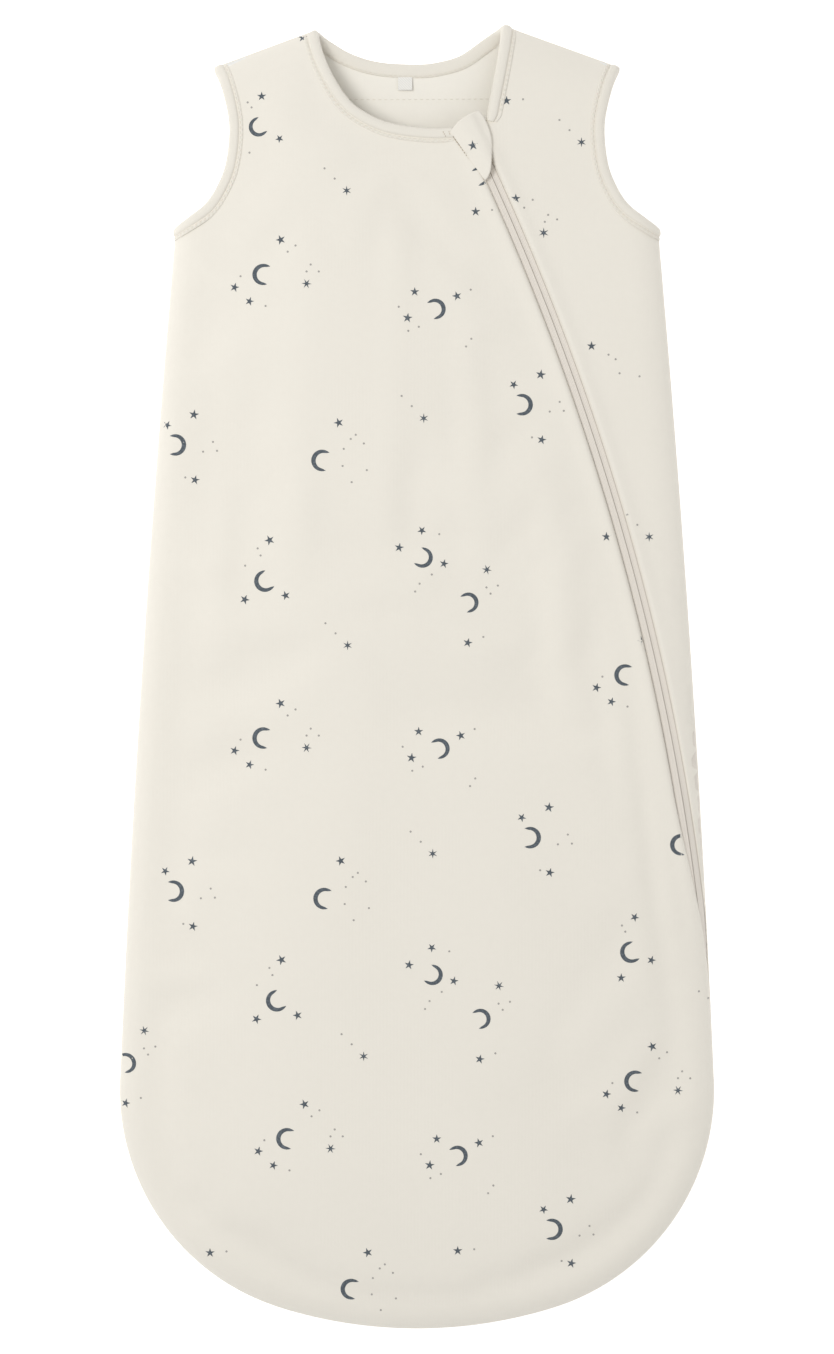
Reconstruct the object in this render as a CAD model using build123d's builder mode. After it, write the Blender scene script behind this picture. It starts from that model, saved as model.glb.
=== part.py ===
from build123d import *

import os
from math import acos, asin, atan2, cos, degrees, hypot, radians, sin, sqrt, tan

# Sleeveless baby sleeping bag with a slanting zip, lying flat on its back.
#
# The frame is millimetres, with +X to the wearer's left, +Y towards the head and +Z up, away from
# the surface that the bag lies on. The origin is under the middle of the bag, on that surface.
#
# The bag is one closed outer form. Its cloth layers are thin shells of that form, each a step
# deeper than the one outside it, and every panel is the stretch of a layer that lies in the
# panel's zone. The zip follows one arc in one slanting plane, and the slider travels by turning
# about that arc's centre.

# Overall sizes
bag_length = 700.0
bag_width = 319.4
chest_half_width = 128.3  # at the underarm
foot_corner_radius = 122.5
foot_arc_radius = 247.4

# Heights of the outer form
edge_height = 13.6  # the top of the rolled side edge
crown_height = 26.0  # higher than any top face, which the planes then cut down
seam_height = 6.0  # the level where the front cloth is sewn to the back cloth
zip_plane_height = 20.0  # over the middle of the bag
zip_plane_slope = 0.04
far_side_slope = 0.085
foot_slope = 0.1
shoulder_edge_height = 11.0
shoulder_rise = 0.3
edge_round = 5.0
least_round = 0.4  # of the innermost forms

# Cloth layers
outer_thickness = 0.8
wadding_thickness = 2.4
lining_thickness = 0.6

# Neck and armholes
neck_width = 99.4
neck_shift = -3.0  # the neck sits a little away from the zip
neck_front_drop = 58.5
neck_back_drop = 22.0
shoulder_slope = 0.385
neck_low_share = 0.38  # the front neck's lowest corner, as a share of half the neck's width
neck_zip_share = 0.55332  # the zip's upper end, likewise
neck_step_share = 0.75  # the lower corner on the zip's own side, likewise
neck_step_rise = 6.0  # and that corner's height above the lowest one
neck_fold_share = 0.54326  # where the neckband folds, on the far side from the zip
neck_far_bow = (0.68, 0.28)  # a point of the far curve: shares of the half width and of the drop
neck_near_bow = (0.875, 0.45)  # the same for the curve on the zip's own side
armhole_half_width = 99.6  # from the middle of the bag to the deepest point of the armhole
armhole_drop = 60.0  # from the top of the bag down to that point
armhole_low_drop = 112.5  # and down to the underarm
armhole_top_radius = 92.0
armhole_foot_radius = 60.0
armhole_top_turn = 32.0  # degrees of the upper arc
armhole_foot_turn = 90.0
neckband_width = 7.5
binding_width = 7.2
facing_drop = 39.0  # the back neck facing's lower edge, below the top of the bag
facing_thickness = 0.5
label_size = (8.5, 9.0, 1.0)
label_round = 0.45

# Zip
zip_radius = 1319.4
zip_top_drop = 52.0  # the tape's upper end, below the top of the bag
zip_foot_rise = 250.0  # the chain's lower end, above the foot of the bag
zip_side_margin = 1.6  # cloth between the slot and the side at that end
slot_left_room = 1.1  # between the slider and the big front panel's edge
slot_right_room = 0.2  # between the slider and the edge on the zip's own side
tape_width = 13.0
tape_thickness = 0.6
chain_gap = 0.5  # each half of the chain stops this far from the middle
coil_width = 1.7
coil_height = 1.6
tape_room = 1.0  # between the tape's outer edge and the wadding
lining_room = 0.8  # the lining stands this much further back than the outer cloth
guard_thickness = 0.7
guard_gap = 0.3  # below the slider
guard_room = 0.65  # below the lining

# Slider and its pull
slider_length = 9.0
slider_width = 6.4
slider_corner = 1.6
slider_plate = 1.0
slider_clearance = 0.15
slider_wall = 0.65
slider_neck_width = 0.7
slider_neck_length = 3.0
slider_stop_gap = 0.5  # between the slider and the top stops
stop_length = 2.4
stop_margin = 2.0  # from the top stops to the tape's upper end
stop_room = 0.2  # between the bottom stop and the lining under it
stop_wrap = 0.3  # the top stops reach this far round the tape's edge
crown_width = 1.6
crown_half_length = 2.7
crown_post = 1.0
crown_top_gap = 0.2
crown_bar = 0.7
crown_round = 0.28
pull_bar_radius = 0.45
pull_length = 13.0
pull_width = 4.4
pull_tip_width = 3.2
pull_arm = 0.8
pull_thickness = 0.9
pull_hole_radius = 0.9
pull_hole_inset = 1.98  # from the hole's middle to the pull's end
pull_room = 0.4  # between the crown and the pull's tab

# Folding front edge and the flap over the slider
fold_gap = 0.5
fold_axis_height = 1.0  # above the cloth, so that the folded edge clears it
fold_drop = 48.5  # from the top of the bag to where the neckband folds
fold_foot_offset = 6.5  # from the zip's middle at the chain's lower end
flap_thickness = 1.4
flap_lift = 3.0  # from the cloth up to the flap's underside, over the slider
flap_seat = 0.3  # the sewn edge's clearance from the cloth
flap_root_width = 1.2
flap_root_drops = (56.7, 85.0)  # where the sewn edge starts and ends, below the top
flap_root_offsets = (11.0, 6.0)  # from the zip's middle, at those two places
flap_bulge = 7.5  # how far the free edge reaches past the zip's middle
flap_peak = (7.0, 47.0)  # past the zip's middle, and below the top

# Worked out from the sizes above
top_y = bag_length / 2
half_width = bag_width / 2
foot_y = -top_y
neck_right_x = neck_shift + neck_width / 2
neck_left_x = neck_shift - neck_width / 2
layers_thickness = outer_thickness + wadding_thickness + lining_thickness
lining_depth = outer_thickness + wadding_thickness
slot_left = slider_width / 2 + slot_left_room
slot_right = slider_width / 2 + slot_right_room
neck_reach = neck_width / 2
neck_low_y = top_y - neck_front_drop
far = bag_length + bag_width  # past the bag in any direction
tall = 3 * crown_height  # over and under the whole of it


def shoulder_y(x):
    """The height up the bag of the shoulder line at x."""
    return top_y + shoulder_slope * (neck_right_x - abs(x))


def arc_centre(start, end, radius):
    """The centre of the arc of this radius from start up to end that bows to the right."""
    dx = end[0] - start[0]
    dy = end[1] - start[1]
    chord = hypot(dx, dy)
    reach = sqrt(radius**2 - (chord / 2) ** 2)
    middle = ((start[0] + end[0]) / 2, (start[1] + end[1]) / 2)
    return (middle[0] - reach * dy / chord, middle[1] + reach * dx / chord)


# The outline's wearer's-left half: shoulder line, straight side, foot corner and foot arc
corner_x = half_width - foot_corner_radius
corner_y = foot_y + foot_arc_radius - sqrt((foot_arc_radius - foot_corner_radius) ** 2 - corner_x**2)
underarm = (chest_half_width, top_y - armhole_low_drop)
underarm_run = (underarm[0] - corner_x, underarm[1] - corner_y)
side_lean = atan2(underarm_run[1], underarm_run[0]) - acos(foot_corner_radius / hypot(*underarm_run))
side_foot = (
    corner_x + foot_corner_radius * cos(side_lean),
    corner_y + foot_corner_radius * sin(side_lean),
)


def side_x(y):
    """How far from the middle the bag's side is at y."""
    return side_foot[0] - (y - side_foot[1]) * tan(side_lean)


# The side meets the shoulder line where the two heights agree
side_tan = tan(side_lean)
level_rise = shoulder_slope * (neck_right_x - side_foot[0] - side_foot[1] * side_tan)
side_top_y = (top_y + level_rise) / (1 - shoulder_slope * side_tan)
side_top = (side_x(side_top_y), side_top_y)
corner_turn = atan2(corner_y - (foot_y + foot_arc_radius), corner_x)
corner_end = (foot_arc_radius * cos(corner_turn), foot_y + foot_arc_radius * (1 + sin(corner_turn)))
corner_bisector = (side_lean + corner_turn) / 2
corner_middle = (
    corner_x + foot_corner_radius * cos(corner_bisector),
    corner_y + foot_corner_radius * sin(corner_bisector),
)

with BuildSketch() as outline:
    with BuildLine() as outline_edge:
        Line((0, shoulder_y(0)), side_top)
        Line(side_top, side_foot)
        ThreePointArc(side_foot, corner_middle, corner_end)
        ThreePointArc(corner_end, (0, foot_y), (-corner_end[0], corner_end[1]))
        mirror(outline_edge.edges()[:3], about=Plane.YZ)
    make_face()

# The top faces of the outer form. The zip lies in the first of them.
zip_plane = Plane(
    origin=(0, 0, zip_plane_height), x_dir=(1, 0, -zip_plane_slope), z_dir=(zip_plane_slope, 0, 1)
)
far_side_plane = Plane(origin=(-half_width, 0, edge_height), z_dir=(-far_side_slope, 0, 1))
foot_plane = Plane(origin=(0, foot_y, edge_height), z_dir=(0, -foot_slope, 1))
shoulder_planes = [
    Plane(
        origin=(0, shoulder_y(0), shoulder_edge_height),
        z_dir=(side * shoulder_slope * shoulder_rise, shoulder_rise, 1),
    )
    for side in (-1, 1)
]


def core(depth):
    """The bag's outer form with depth taken off every side of it."""
    with BuildPart() as form:
        with BuildSketch(Plane.XY.offset(depth)):
            if depth > 0:
                offset(outline.sketch, amount=-depth)
            else:
                add(outline.sketch)
        extrude(amount=crown_height)
        fillet(form.faces().sort_by(Axis.Z)[0].edges(), radius=max(edge_round - depth, least_round))
        for face in [zip_plane, far_side_plane, foot_plane, *shoulder_planes]:
            split(bisect_by=face.offset(-depth), keep=Keep.BOTTOM)
    return form.part


cores = [core(depth) for depth in (0, outer_thickness, lining_depth, layers_thickness)]


def layer(outside, inside):
    """The cloth between two of the cores."""
    with BuildPart() as cloth:
        add(cores[outside])
        add(cores[inside], mode=Mode.SUBTRACT)
    return cloth.part


outer_layer = layer(0, 1)
wadding_layer = layer(1, 2)
lining_layer = layer(2, 3)
whole_layer = layer(0, 3)


def prism(sketch):
    """A tall block over a sketch drawn on the ground plane."""
    with BuildPart() as block:
        with BuildSketch():
            add(sketch)
        extrude(amount=tall, both=True)
    return block.part


def zip_prism(sketch):
    """A tall block through a sketch drawn in the zip's plane."""
    with BuildPart() as block:
        with BuildSketch(zip_plane):
            add(sketch)
        extrude(amount=tall, both=True)
    return block.part


def widened(sketch, amount):
    """The same sketch with its edge moved out by amount."""
    with BuildSketch() as wide:
        offset(sketch, amount=amount, kind=Kind.ARC)
    return wide.sketch


# The front neck opening dips to the zip and rises straighter on the zip's own side
with BuildSketch() as neck_front:
    with BuildLine():
        left_top = (neck_left_x, top_y + neck_back_drop)
        left_start = (neck_left_x, shoulder_y(neck_left_x))
        left_bow = (
            neck_shift - neck_far_bow[0] * neck_reach,
            neck_low_y + neck_far_bow[1] * neck_front_drop,
        )
        zip_corner = (neck_shift + neck_low_share * neck_reach, neck_low_y)
        right_corner = (neck_shift + neck_step_share * neck_reach, neck_low_y + neck_step_rise)
        right_bow = (
            neck_shift + neck_near_bow[0] * neck_reach,
            neck_low_y + neck_near_bow[1] * neck_front_drop,
        )
        right_start = (neck_right_x, top_y)
        right_top = (neck_right_x, top_y + neck_back_drop)
        Line(left_top, left_start)
        ThreePointArc(left_start, left_bow, zip_corner)
        Line(zip_corner, right_corner)
        ThreePointArc(right_corner, right_bow, right_start)
        Line(right_start, right_top)
        Line(right_top, left_top)
    make_face()

# The back neck opening is one shallow arc
neck_back_sag = neck_back_drop - (top_y - shoulder_y(neck_left_x)) / 2
neck_back_radius = (neck_reach**2 + neck_back_sag**2) / (2 * neck_back_sag)
with BuildSketch() as neck_back:
    with Locations((neck_shift, top_y - neck_back_drop + neck_back_radius)):
        Circle(neck_back_radius)

# The right armhole opening, with its upper and lower arcs meeting at its deepest point
armhole_y = top_y - armhole_drop
armhole_out = armhole_half_width + armhole_foot_radius
with BuildSketch() as armhole:
    with BuildLine():
        deepest = (armhole_half_width, armhole_y)
        top_turn = radians(armhole_top_turn)
        foot_turn = radians(armhole_foot_turn)
        upper_end = (
            armhole_half_width + armhole_top_radius * (1 - cos(top_turn)),
            armhole_y + armhole_top_radius * sin(top_turn),
        )
        upper_middle = (
            armhole_half_width + armhole_top_radius * (1 - cos(top_turn / 2)),
            armhole_y + armhole_top_radius * sin(top_turn / 2),
        )
        lower_end = (armhole_out, armhole_y - armhole_foot_radius)
        lower_middle = (
            armhole_half_width + armhole_foot_radius * (1 - cos(foot_turn / 2)),
            armhole_y - armhole_foot_radius * sin(foot_turn / 2),
        )
        ThreePointArc(upper_end, upper_middle, deepest)
        ThreePointArc(deepest, lower_middle, lower_end)
        Line(lower_end, (2 * armhole_out, armhole_y - armhole_foot_radius))
        Line((2 * armhole_out, armhole_y - armhole_foot_radius), (2 * armhole_out, upper_end[1]))
        Line((2 * armhole_out, upper_end[1]), upper_end)
    make_face()

# Where the zip's arc runs, in the zip's plane
zip_top = (neck_shift + neck_zip_share * neck_reach, top_y - zip_top_drop)
zip_foot_y = foot_y + zip_foot_rise
zip_foot = (side_x(zip_foot_y) - slot_right - zip_side_margin, zip_foot_y)
zip_centre = arc_centre(zip_foot, zip_top, zip_radius)
top_angle = degrees(asin((zip_top[1] - zip_centre[1]) / zip_radius))
foot_angle = degrees(asin((zip_foot[1] - zip_centre[1]) / zip_radius))
millimetre_angle = degrees(1 / zip_radius)


def in_bag(point, plane=zip_plane):
    """A point of a slanting plane, in the bag's own frame."""
    return plane.from_local_coords(Vector(point))


def zip_point(angle, offset_out=0.0):
    """A point beside the zip's arc, in the zip's plane."""
    reach = zip_radius + offset_out
    return (zip_centre[0] + reach * cos(radians(angle)), zip_centre[1] + reach * sin(radians(angle)))


def zip_frame(angle):
    """A plane on the zip's arc: X outwards, Y along the zip to the neck, Z out of the cloth."""
    turn = radians(angle)
    x_dir = zip_plane.x_dir * cos(turn) + zip_plane.y_dir * sin(turn)
    return Plane(origin=in_bag((*zip_point(angle), 0)), x_dir=x_dir, z_dir=zip_plane.z_dir)


def zip_strip(across, up, start_angle=top_angle, end_angle=foot_angle):
    """A strip along the zip: across and up are its two limits from the zip's middle and cloth."""
    with BuildPart() as strip:
        with BuildSketch(zip_plane.offset(up[0])):
            with BuildLine():
                inner = CenterArc(zip_centre, zip_radius + across[0], end_angle, start_angle - end_angle)
                outer = CenterArc(zip_centre, zip_radius + across[1], end_angle, start_angle - end_angle)
                Line(inner @ 0, outer @ 0)
                Line(inner @ 1, outer @ 1)
            make_face()
        extrude(amount=up[1] - up[0])
    return strip.part


# Zones in the zip's plane: beyond the fold line, and either side of the zip's slot
fold_top = (neck_shift - neck_fold_share * neck_reach, top_y - fold_drop)
fold_foot = zip_point(foot_angle, -fold_foot_offset)
fold_length = hypot(fold_foot[0] - fold_top[0], fold_foot[1] - fold_top[1])
fold_direction = ((fold_top[0] - fold_foot[0]) / fold_length, (fold_top[1] - fold_foot[1]) / fold_length)
fold_normal = (fold_direction[1], -fold_direction[0])


def opened_zone(set_back):
    """All that lies beyond the fold line, set back from it, and above the chain's lower end."""
    corner = (fold_foot[0] + set_back * fold_normal[0], fold_foot[1] + set_back * fold_normal[1])
    with BuildSketch() as zone:
        with BuildLine():
            Polyline(
                corner,
                (corner[0] + far, corner[1] + far * tan(radians(foot_angle))),
                (corner[0] + far, corner[1] + far * fold_direction[1]),
                (corner[0] + far * fold_direction[0], corner[1] + far * fold_direction[1]),
                close=True,
            )
        make_face()
    return zip_prism(zone.sketch)


def zip_disc(offset_out):
    """All that lies on the near side of an arc beside the zip."""
    with BuildSketch() as disc:
        with Locations(zip_centre):
            Circle(zip_radius + offset_out)
    return zip_prism(disc.sketch)


with BuildPart() as front_zone:
    with Locations((0, 0, seam_height)):
        Box(far, 2 * far, tall, align=(Align.CENTER, Align.CENTER, Align.MIN))
with BuildPart() as back_zone:
    with Locations((0, 0, seam_height)):
        Box(far, 2 * far, tall, align=(Align.CENTER, Align.CENTER, Align.MAX))

front_neck_cut = prism(neck_front.sketch)
front_panel_cut = prism(widened(neck_front.sketch, neckband_width))
back_neck_cut = prism(neck_back.sketch)
back_panel_cut = prism(widened(neck_back.sketch, neckband_width))
with BuildPart() as armhole_cut:
    add(prism(armhole.sketch))
    mirror(about=Plane.YZ)
with BuildPart() as armhole_panel_cut:
    add(prism(widened(armhole.sketch, binding_width)))
    mirror(about=Plane.YZ)
opened = opened_zone(0)
opened_past_gap = opened_zone(fold_gap)


def trimmed(cloth, inside=(), outside=(), joined=()):
    """The part of cloth that lies inside and outside the given blocks, with any more joined on."""
    with BuildPart() as piece:
        add(cloth)
        for block in inside:
            add(block, mode=Mode.INTERSECT)
        for block in outside:
            add(block, mode=Mode.SUBTRACT)
        for extra in joined:
            add(extra)
    return piece.part


def finish(part, label):
    """Names a finished piece and writes it to its own file."""
    part.label = label
    export_step(part, f"parts/{label}.step")
    return part


os.makedirs("parts", exist_ok=True)

# Panels: each cloth layer is cut into back, front, lapel and zip side
cloth_layers = {"outer": outer_layer, "wadding": wadding_layer, "lining": lining_layer}
set_backs = {"outer": 0.0, "wadding": tape_width + tape_room, "lining": lining_room}
for layer_name, cloth in cloth_layers.items():
    left_edge = set_backs[layer_name]
    right_edge = set_backs[layer_name]
    if layer_name != "wadding":
        left_edge += slot_left
        right_edge += slot_right
    front = trimmed(cloth, inside=[front_zone.part], outside=[front_panel_cut, armhole_panel_cut.part])
    finish(
        trimmed(cloth, inside=[back_zone.part], outside=[back_panel_cut, armhole_panel_cut.part]),
        f"back_{layer_name}",
    )
    finish(trimmed(front, outside=[opened]), f"front_{layer_name}")
    finish(trimmed(front, inside=[opened_past_gap, zip_disc(-left_edge)]), f"lapel_{layer_name}")
    finish(trimmed(front, inside=[opened], outside=[zip_disc(right_edge)]), f"zip_side_{layer_name}")

# The tapes' channel, and the coil's, run through the neckband and stop at the rolled side edge
tape_up = (-outer_thickness - tape_thickness, -outer_thickness)
tape_channel = zip_strip((-tape_width, tape_width), tape_up)

# Neckband: the lapel's stretch is its own piece, because it folds open with the lapel
front_band = trimmed(
    whole_layer,
    inside=[front_zone.part, front_panel_cut],
    outside=[front_neck_cut, armhole_panel_cut.part],
)
back_band = trimmed(
    whole_layer,
    inside=[back_zone.part, back_panel_cut],
    outside=[back_neck_cut, armhole_panel_cut.part],
)
left_band = trimmed(front_band, inside=[opened], outside=[zip_disc(slot_right), tape_channel])
right_band = trimmed(front_band, outside=[opened])
lapel_band = trimmed(front_band, inside=[opened_past_gap, zip_disc(-slot_left)], outside=[tape_channel])
finish(trimmed(back_band, joined=[left_band, right_band]), "neckband")
finish(lapel_band, "lapel_neckband")

# Armhole bindings go right round each opening, over the front and the back
bindings = trimmed(whole_layer, inside=[armhole_panel_cut.part], outside=[armhole_cut.part])
for label, side in (("armhole_binding_left", Align.MIN), ("armhole_binding_right", Align.MAX)):
    with BuildPart() as half:
        Box(far, 2 * far, 2 * tall, align=(side, Align.CENTER, Align.CENTER))
    finish(trimmed(bindings, inside=[half.part]), label)

# Facing and size label, on the inside of the back below the neckband
facing_low_y = top_y - facing_drop
facing_radius = ((neck_reach + neckband_width) ** 2 + facing_drop**2) / (2 * facing_drop)
with BuildPart() as facing:
    with BuildSketch(Plane.XY.offset(layers_thickness)):
        with Locations((neck_shift, facing_low_y + facing_radius)):
            Circle(facing_radius)
        add(widened(neck_back.sketch, neckband_width), mode=Mode.SUBTRACT)
        with Locations((neck_shift, facing_low_y)):
            inside_sides = (Align.CENTER, Align.MIN)
            Rectangle(neck_width, neck_back_drop, align=inside_sides, mode=Mode.INTERSECT)
    extrude(amount=facing_thickness)
finish(facing.part, "neck_facing")
label_x = neck_shift - label_size[0] / 2
label_y = top_y - neck_back_drop - neckband_width
with BuildPart() as size_label:
    with Locations((label_x, label_y, layers_thickness + facing_thickness)):
        Box(*label_size, align=(Align.CENTER, Align.MAX, Align.MIN))
    fillet(size_label.edges().filter_by(Axis.X).sort_by(Axis.Y)[:2], radius=label_round)
finish(size_label.part, "size_label")

# Zip: tapes lie under the outer cloth with the coil on their inner face
coil_up = (tape_up[0] - coil_height, tape_up[0])
coil_across = (chain_gap, chain_gap + coil_width)
stop_up = (coil_up[0], -outer_thickness / 2)
stop_end = top_angle - stop_margin * millimetre_angle
stop_start = stop_end - stop_length * millimetre_angle
coil_foot = foot_angle + stop_length * millimetre_angle
left_tape = zip_strip((chain_gap, tape_width), tape_up)
right_tape = zip_strip((-tape_width, -chain_gap), tape_up)
within_sides = prism(widened(outline.sketch, -outer_thickness))
finish(trimmed(left_tape, inside=[within_sides]), "zip_tape_left")
finish(trimmed(right_tape, inside=[opened_past_gap]), "zip_tape_right")
left_coil = zip_strip(coil_across, coil_up, stop_start, coil_foot)
right_coil = zip_strip((-coil_across[1], -coil_across[0]), coil_up, stop_start, coil_foot)
finish(left_coil, "zip_coil_left")
finish(trimmed(right_coil, inside=[opened_past_gap]), "zip_coil_right")
stop_across = (chain_gap - stop_wrap, coil_across[1])
left_stop = zip_strip(stop_across, stop_up, stop_end, stop_start)
right_stop = zip_strip((-stop_across[1], -stop_across[0]), stop_up, stop_end, stop_start)
finish(trimmed(left_stop, outside=[left_tape]), "zip_top_stop_left")
finish(trimmed(right_stop, outside=[right_tape]), "zip_top_stop_right")
foot_stop_up = (min(coil_up[0], stop_room - lining_depth), tape_up[0])
foot_stop = zip_strip((-coil_across[1], coil_across[1]), foot_stop_up, coil_foot, foot_angle)
finish(foot_stop, "zip_bottom_stop")

# Guard: a strip of cloth behind the zip, sewn to the lining on the zip's own side
slider_bottom = coil_up[0] - slider_clearance - slider_plate
guard_top = min(slider_bottom - guard_gap, -layers_thickness - guard_room)
guard_low = guard_top - guard_thickness
guard_strip = zip_strip((-tape_width, tape_width), (guard_low, guard_top))
guard_sewn = zip_strip((slot_right + lining_room, tape_width), (guard_low, -layers_thickness))
guard = trimmed(guard_strip, joined=[guard_sewn])
guard_clear = trimmed(cores[3], outside=[back_zone.part])
finish(trimmed(guard, inside=[guard_clear], outside=[front_panel_cut]), "zip_guard")

# Slider: two plates round the chain, joined by a narrow neck at the end nearer the bag's neck
slider_angle = stop_start - (slider_length / 2 + slider_stop_gap) * millimetre_angle
slider_frame = zip_frame(slider_angle)
plate_low = -outer_thickness + slider_clearance
plate_high = plate_low + slider_plate
with BuildPart() as slider_body:
    with BuildSketch(slider_frame.offset(plate_low)):
        RectangleRounded(slider_width, slider_length, slider_corner)
    extrude(amount=slider_plate)
    with BuildSketch(slider_frame.offset(slider_bottom)):
        RectangleRounded(slider_width, slider_length, slider_corner)
    extrude(amount=slider_plate)
    with BuildSketch(slider_frame.offset(slider_bottom)):
        with GridLocations(slider_width - slider_wall, 0, 2, 1):
            Rectangle(slider_wall, slider_length - slider_width / 2)
    extrude(amount=tape_up[0] - slider_clearance - slider_bottom)
    with BuildSketch(slider_frame.offset(slider_bottom)):
        with Locations((0, (slider_length - slider_neck_length) / 2)):
            Rectangle(slider_neck_width, slider_neck_length)
    extrude(amount=plate_high - slider_bottom)
finish(slider_body.part, "slider_body")

# Crown: the small arch on the slider that holds the pull's bar
bar_height = plate_high + crown_top_gap + pull_bar_radius
crown_opening = bar_height + pull_bar_radius + crown_top_gap
with BuildPart() as crown:
    with BuildSketch(slider_frame.offset(plate_high)):
        Rectangle(crown_width, 2 * crown_half_length)
    extrude(amount=crown_opening + crown_bar - plate_high)
    fillet(
        crown.faces().sort_by(Axis(slider_frame.origin, slider_frame.z_dir))[-1].edges(),
        radius=crown_round,
    )
    with BuildSketch(slider_frame.offset(plate_high)):
        Rectangle(crown_width * 2, 2 * (crown_half_length - crown_post))
    extrude(amount=crown_opening - plate_high, mode=Mode.SUBTRACT)
finish(crown.part, "slider_crown")

# Pull: a bar under the crown, two arms beside it and a tapering tab with a hole
pull_frame = slider_frame.offset(bar_height - pull_thickness / 2)
arm_start = crown_half_length + pull_room
with BuildPart() as pull:
    with BuildSketch(pull_frame):
        with BuildLine():
            Polyline(
                (-pull_width / 2, 0),
                (-pull_width / 2, -arm_start),
                (-pull_tip_width / 2, -pull_length),
                (pull_tip_width / 2, -pull_length),
                (pull_width / 2, -arm_start),
                (pull_width / 2, 0),
                close=True,
            )
        make_face()
        with Locations((0, -arm_start / 2)):
            Rectangle(pull_width - 2 * pull_arm, arm_start, mode=Mode.SUBTRACT)
        with Locations((0, pull_hole_inset - pull_length)):
            Circle(pull_hole_radius, mode=Mode.SUBTRACT)
    extrude(amount=pull_thickness)
    bar_end = in_bag((-pull_width / 2, 0, bar_height), slider_frame)
    along_bar = Plane(origin=bar_end, z_dir=slider_frame.x_dir)
    with BuildSketch(along_bar):
        Circle(pull_bar_radius)
    extrude(amount=pull_width)
finish(pull.part, "slider_pull")

# Flap: a leaf of doubled cloth, sewn along its left edge and folded over the slider
flap_angles = [
    degrees(asin((top_y - drop - zip_centre[1]) / zip_radius)) for drop in flap_root_drops
]
flap_upper = zip_point(flap_angles[0], -flap_root_offsets[0])
flap_lower = zip_point(flap_angles[1], -flap_root_offsets[1])
peak_angle = degrees(asin((top_y - flap_peak[1] - zip_centre[1]) / zip_radius))
flap_tip = zip_point(peak_angle, flap_peak[0])
flap_side = zip_point((peak_angle + flap_angles[1]) / 2, flap_bulge)
root_run = hypot(flap_upper[0] - flap_lower[0], flap_upper[1] - flap_lower[1])
root_step = (
    flap_root_width * (flap_upper[1] - flap_lower[1]) / root_run,
    flap_root_width * (flap_lower[0] - flap_upper[0]) / root_run,
)
with BuildPart() as flap:
    with BuildSketch(zip_plane.offset(flap_lift)):
        with BuildLine():
            Line(flap_lower, flap_upper)
            Line(flap_upper, flap_tip)
            ThreePointArc(flap_tip, flap_side, flap_lower)
        make_face()
    extrude(amount=flap_thickness)
    with BuildSketch(zip_plane.offset(flap_seat)):
        with BuildLine():
            Polyline(
                flap_lower,
                flap_upper,
                (flap_upper[0] + root_step[0], flap_upper[1] + root_step[1]),
                (flap_lower[0] + root_step[0], flap_lower[1] + root_step[1]),
                close=True,
            )
        make_face()
    extrude(amount=flap_lift + flap_thickness / 2 - flap_seat)
finish(flap.part, "zip_garage")


def in_metres(point, plane=zip_plane):
    """A point of a slanting plane, in metres in the bag's own frame."""
    return [round(value / 1000, 6) for value in in_bag(point, plane)]


slider_travel = slider_angle - slider_length * millimetre_angle - foot_angle
print("slider travel", round(slider_travel, 3), "degrees about", in_metres((*zip_centre, 0)))
print("axis", [round(value, 6) for value in zip_plane.z_dir])
print("fold foot", in_metres((*fold_foot, fold_axis_height)))
print("fold top", in_metres((*fold_top, fold_axis_height)))
print("pull bar", in_metres((0, 0, bar_height), slider_frame))
print("pull axis", [round(value, 6) for value in slider_frame.x_dir])
print("flap lower end", in_metres((*flap_lower, flap_seat)))
print("flap upper end", in_metres((*flap_upper, flap_seat)))
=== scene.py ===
"""Looks of a sleeveless, padded baby sleeping bag that lies flat on its back with its zip closed.

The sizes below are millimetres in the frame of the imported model: +X to the wearer's left, where
the zip runs, +Y to the head and +Z up out of the front. A mesh is turned into metres when it is
made. The cloth of each panel is one curved sheet, cut to the panel's outline, and its outer cloth,
wadding and lining are layers of that sheet.
"""

import logging
import math
from collections.abc import Callable, Iterable, Sequence
from dataclasses import dataclass
from enum import Enum

import bmesh
import bpy
import numpy as np
from mathutils import Matrix, Vector
from mathutils.bvhtree import BVHTree
from mathutils.geometry import delaunay_2d_cdt
from mathutils.kdtree import KDTree


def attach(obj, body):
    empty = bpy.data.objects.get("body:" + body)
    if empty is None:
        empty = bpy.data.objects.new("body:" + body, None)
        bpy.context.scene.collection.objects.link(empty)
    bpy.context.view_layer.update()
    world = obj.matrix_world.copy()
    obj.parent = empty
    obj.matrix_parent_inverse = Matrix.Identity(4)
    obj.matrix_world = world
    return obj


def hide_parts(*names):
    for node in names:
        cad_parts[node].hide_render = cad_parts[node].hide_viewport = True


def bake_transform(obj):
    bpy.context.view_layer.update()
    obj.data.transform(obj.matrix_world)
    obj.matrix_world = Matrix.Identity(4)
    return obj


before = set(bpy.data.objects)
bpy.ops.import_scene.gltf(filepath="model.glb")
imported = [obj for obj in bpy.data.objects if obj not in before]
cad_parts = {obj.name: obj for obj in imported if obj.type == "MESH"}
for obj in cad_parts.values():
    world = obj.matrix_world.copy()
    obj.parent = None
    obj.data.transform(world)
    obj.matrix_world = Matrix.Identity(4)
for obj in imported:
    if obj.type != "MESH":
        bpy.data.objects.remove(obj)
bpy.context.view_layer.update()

MM = 0.001
log = logging.getLogger("sleeping_bag")
Colour = tuple[float, float, float]
Spot = tuple[float, float]


# ---------------------------------------------------------------------------- curves and sheets


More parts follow.
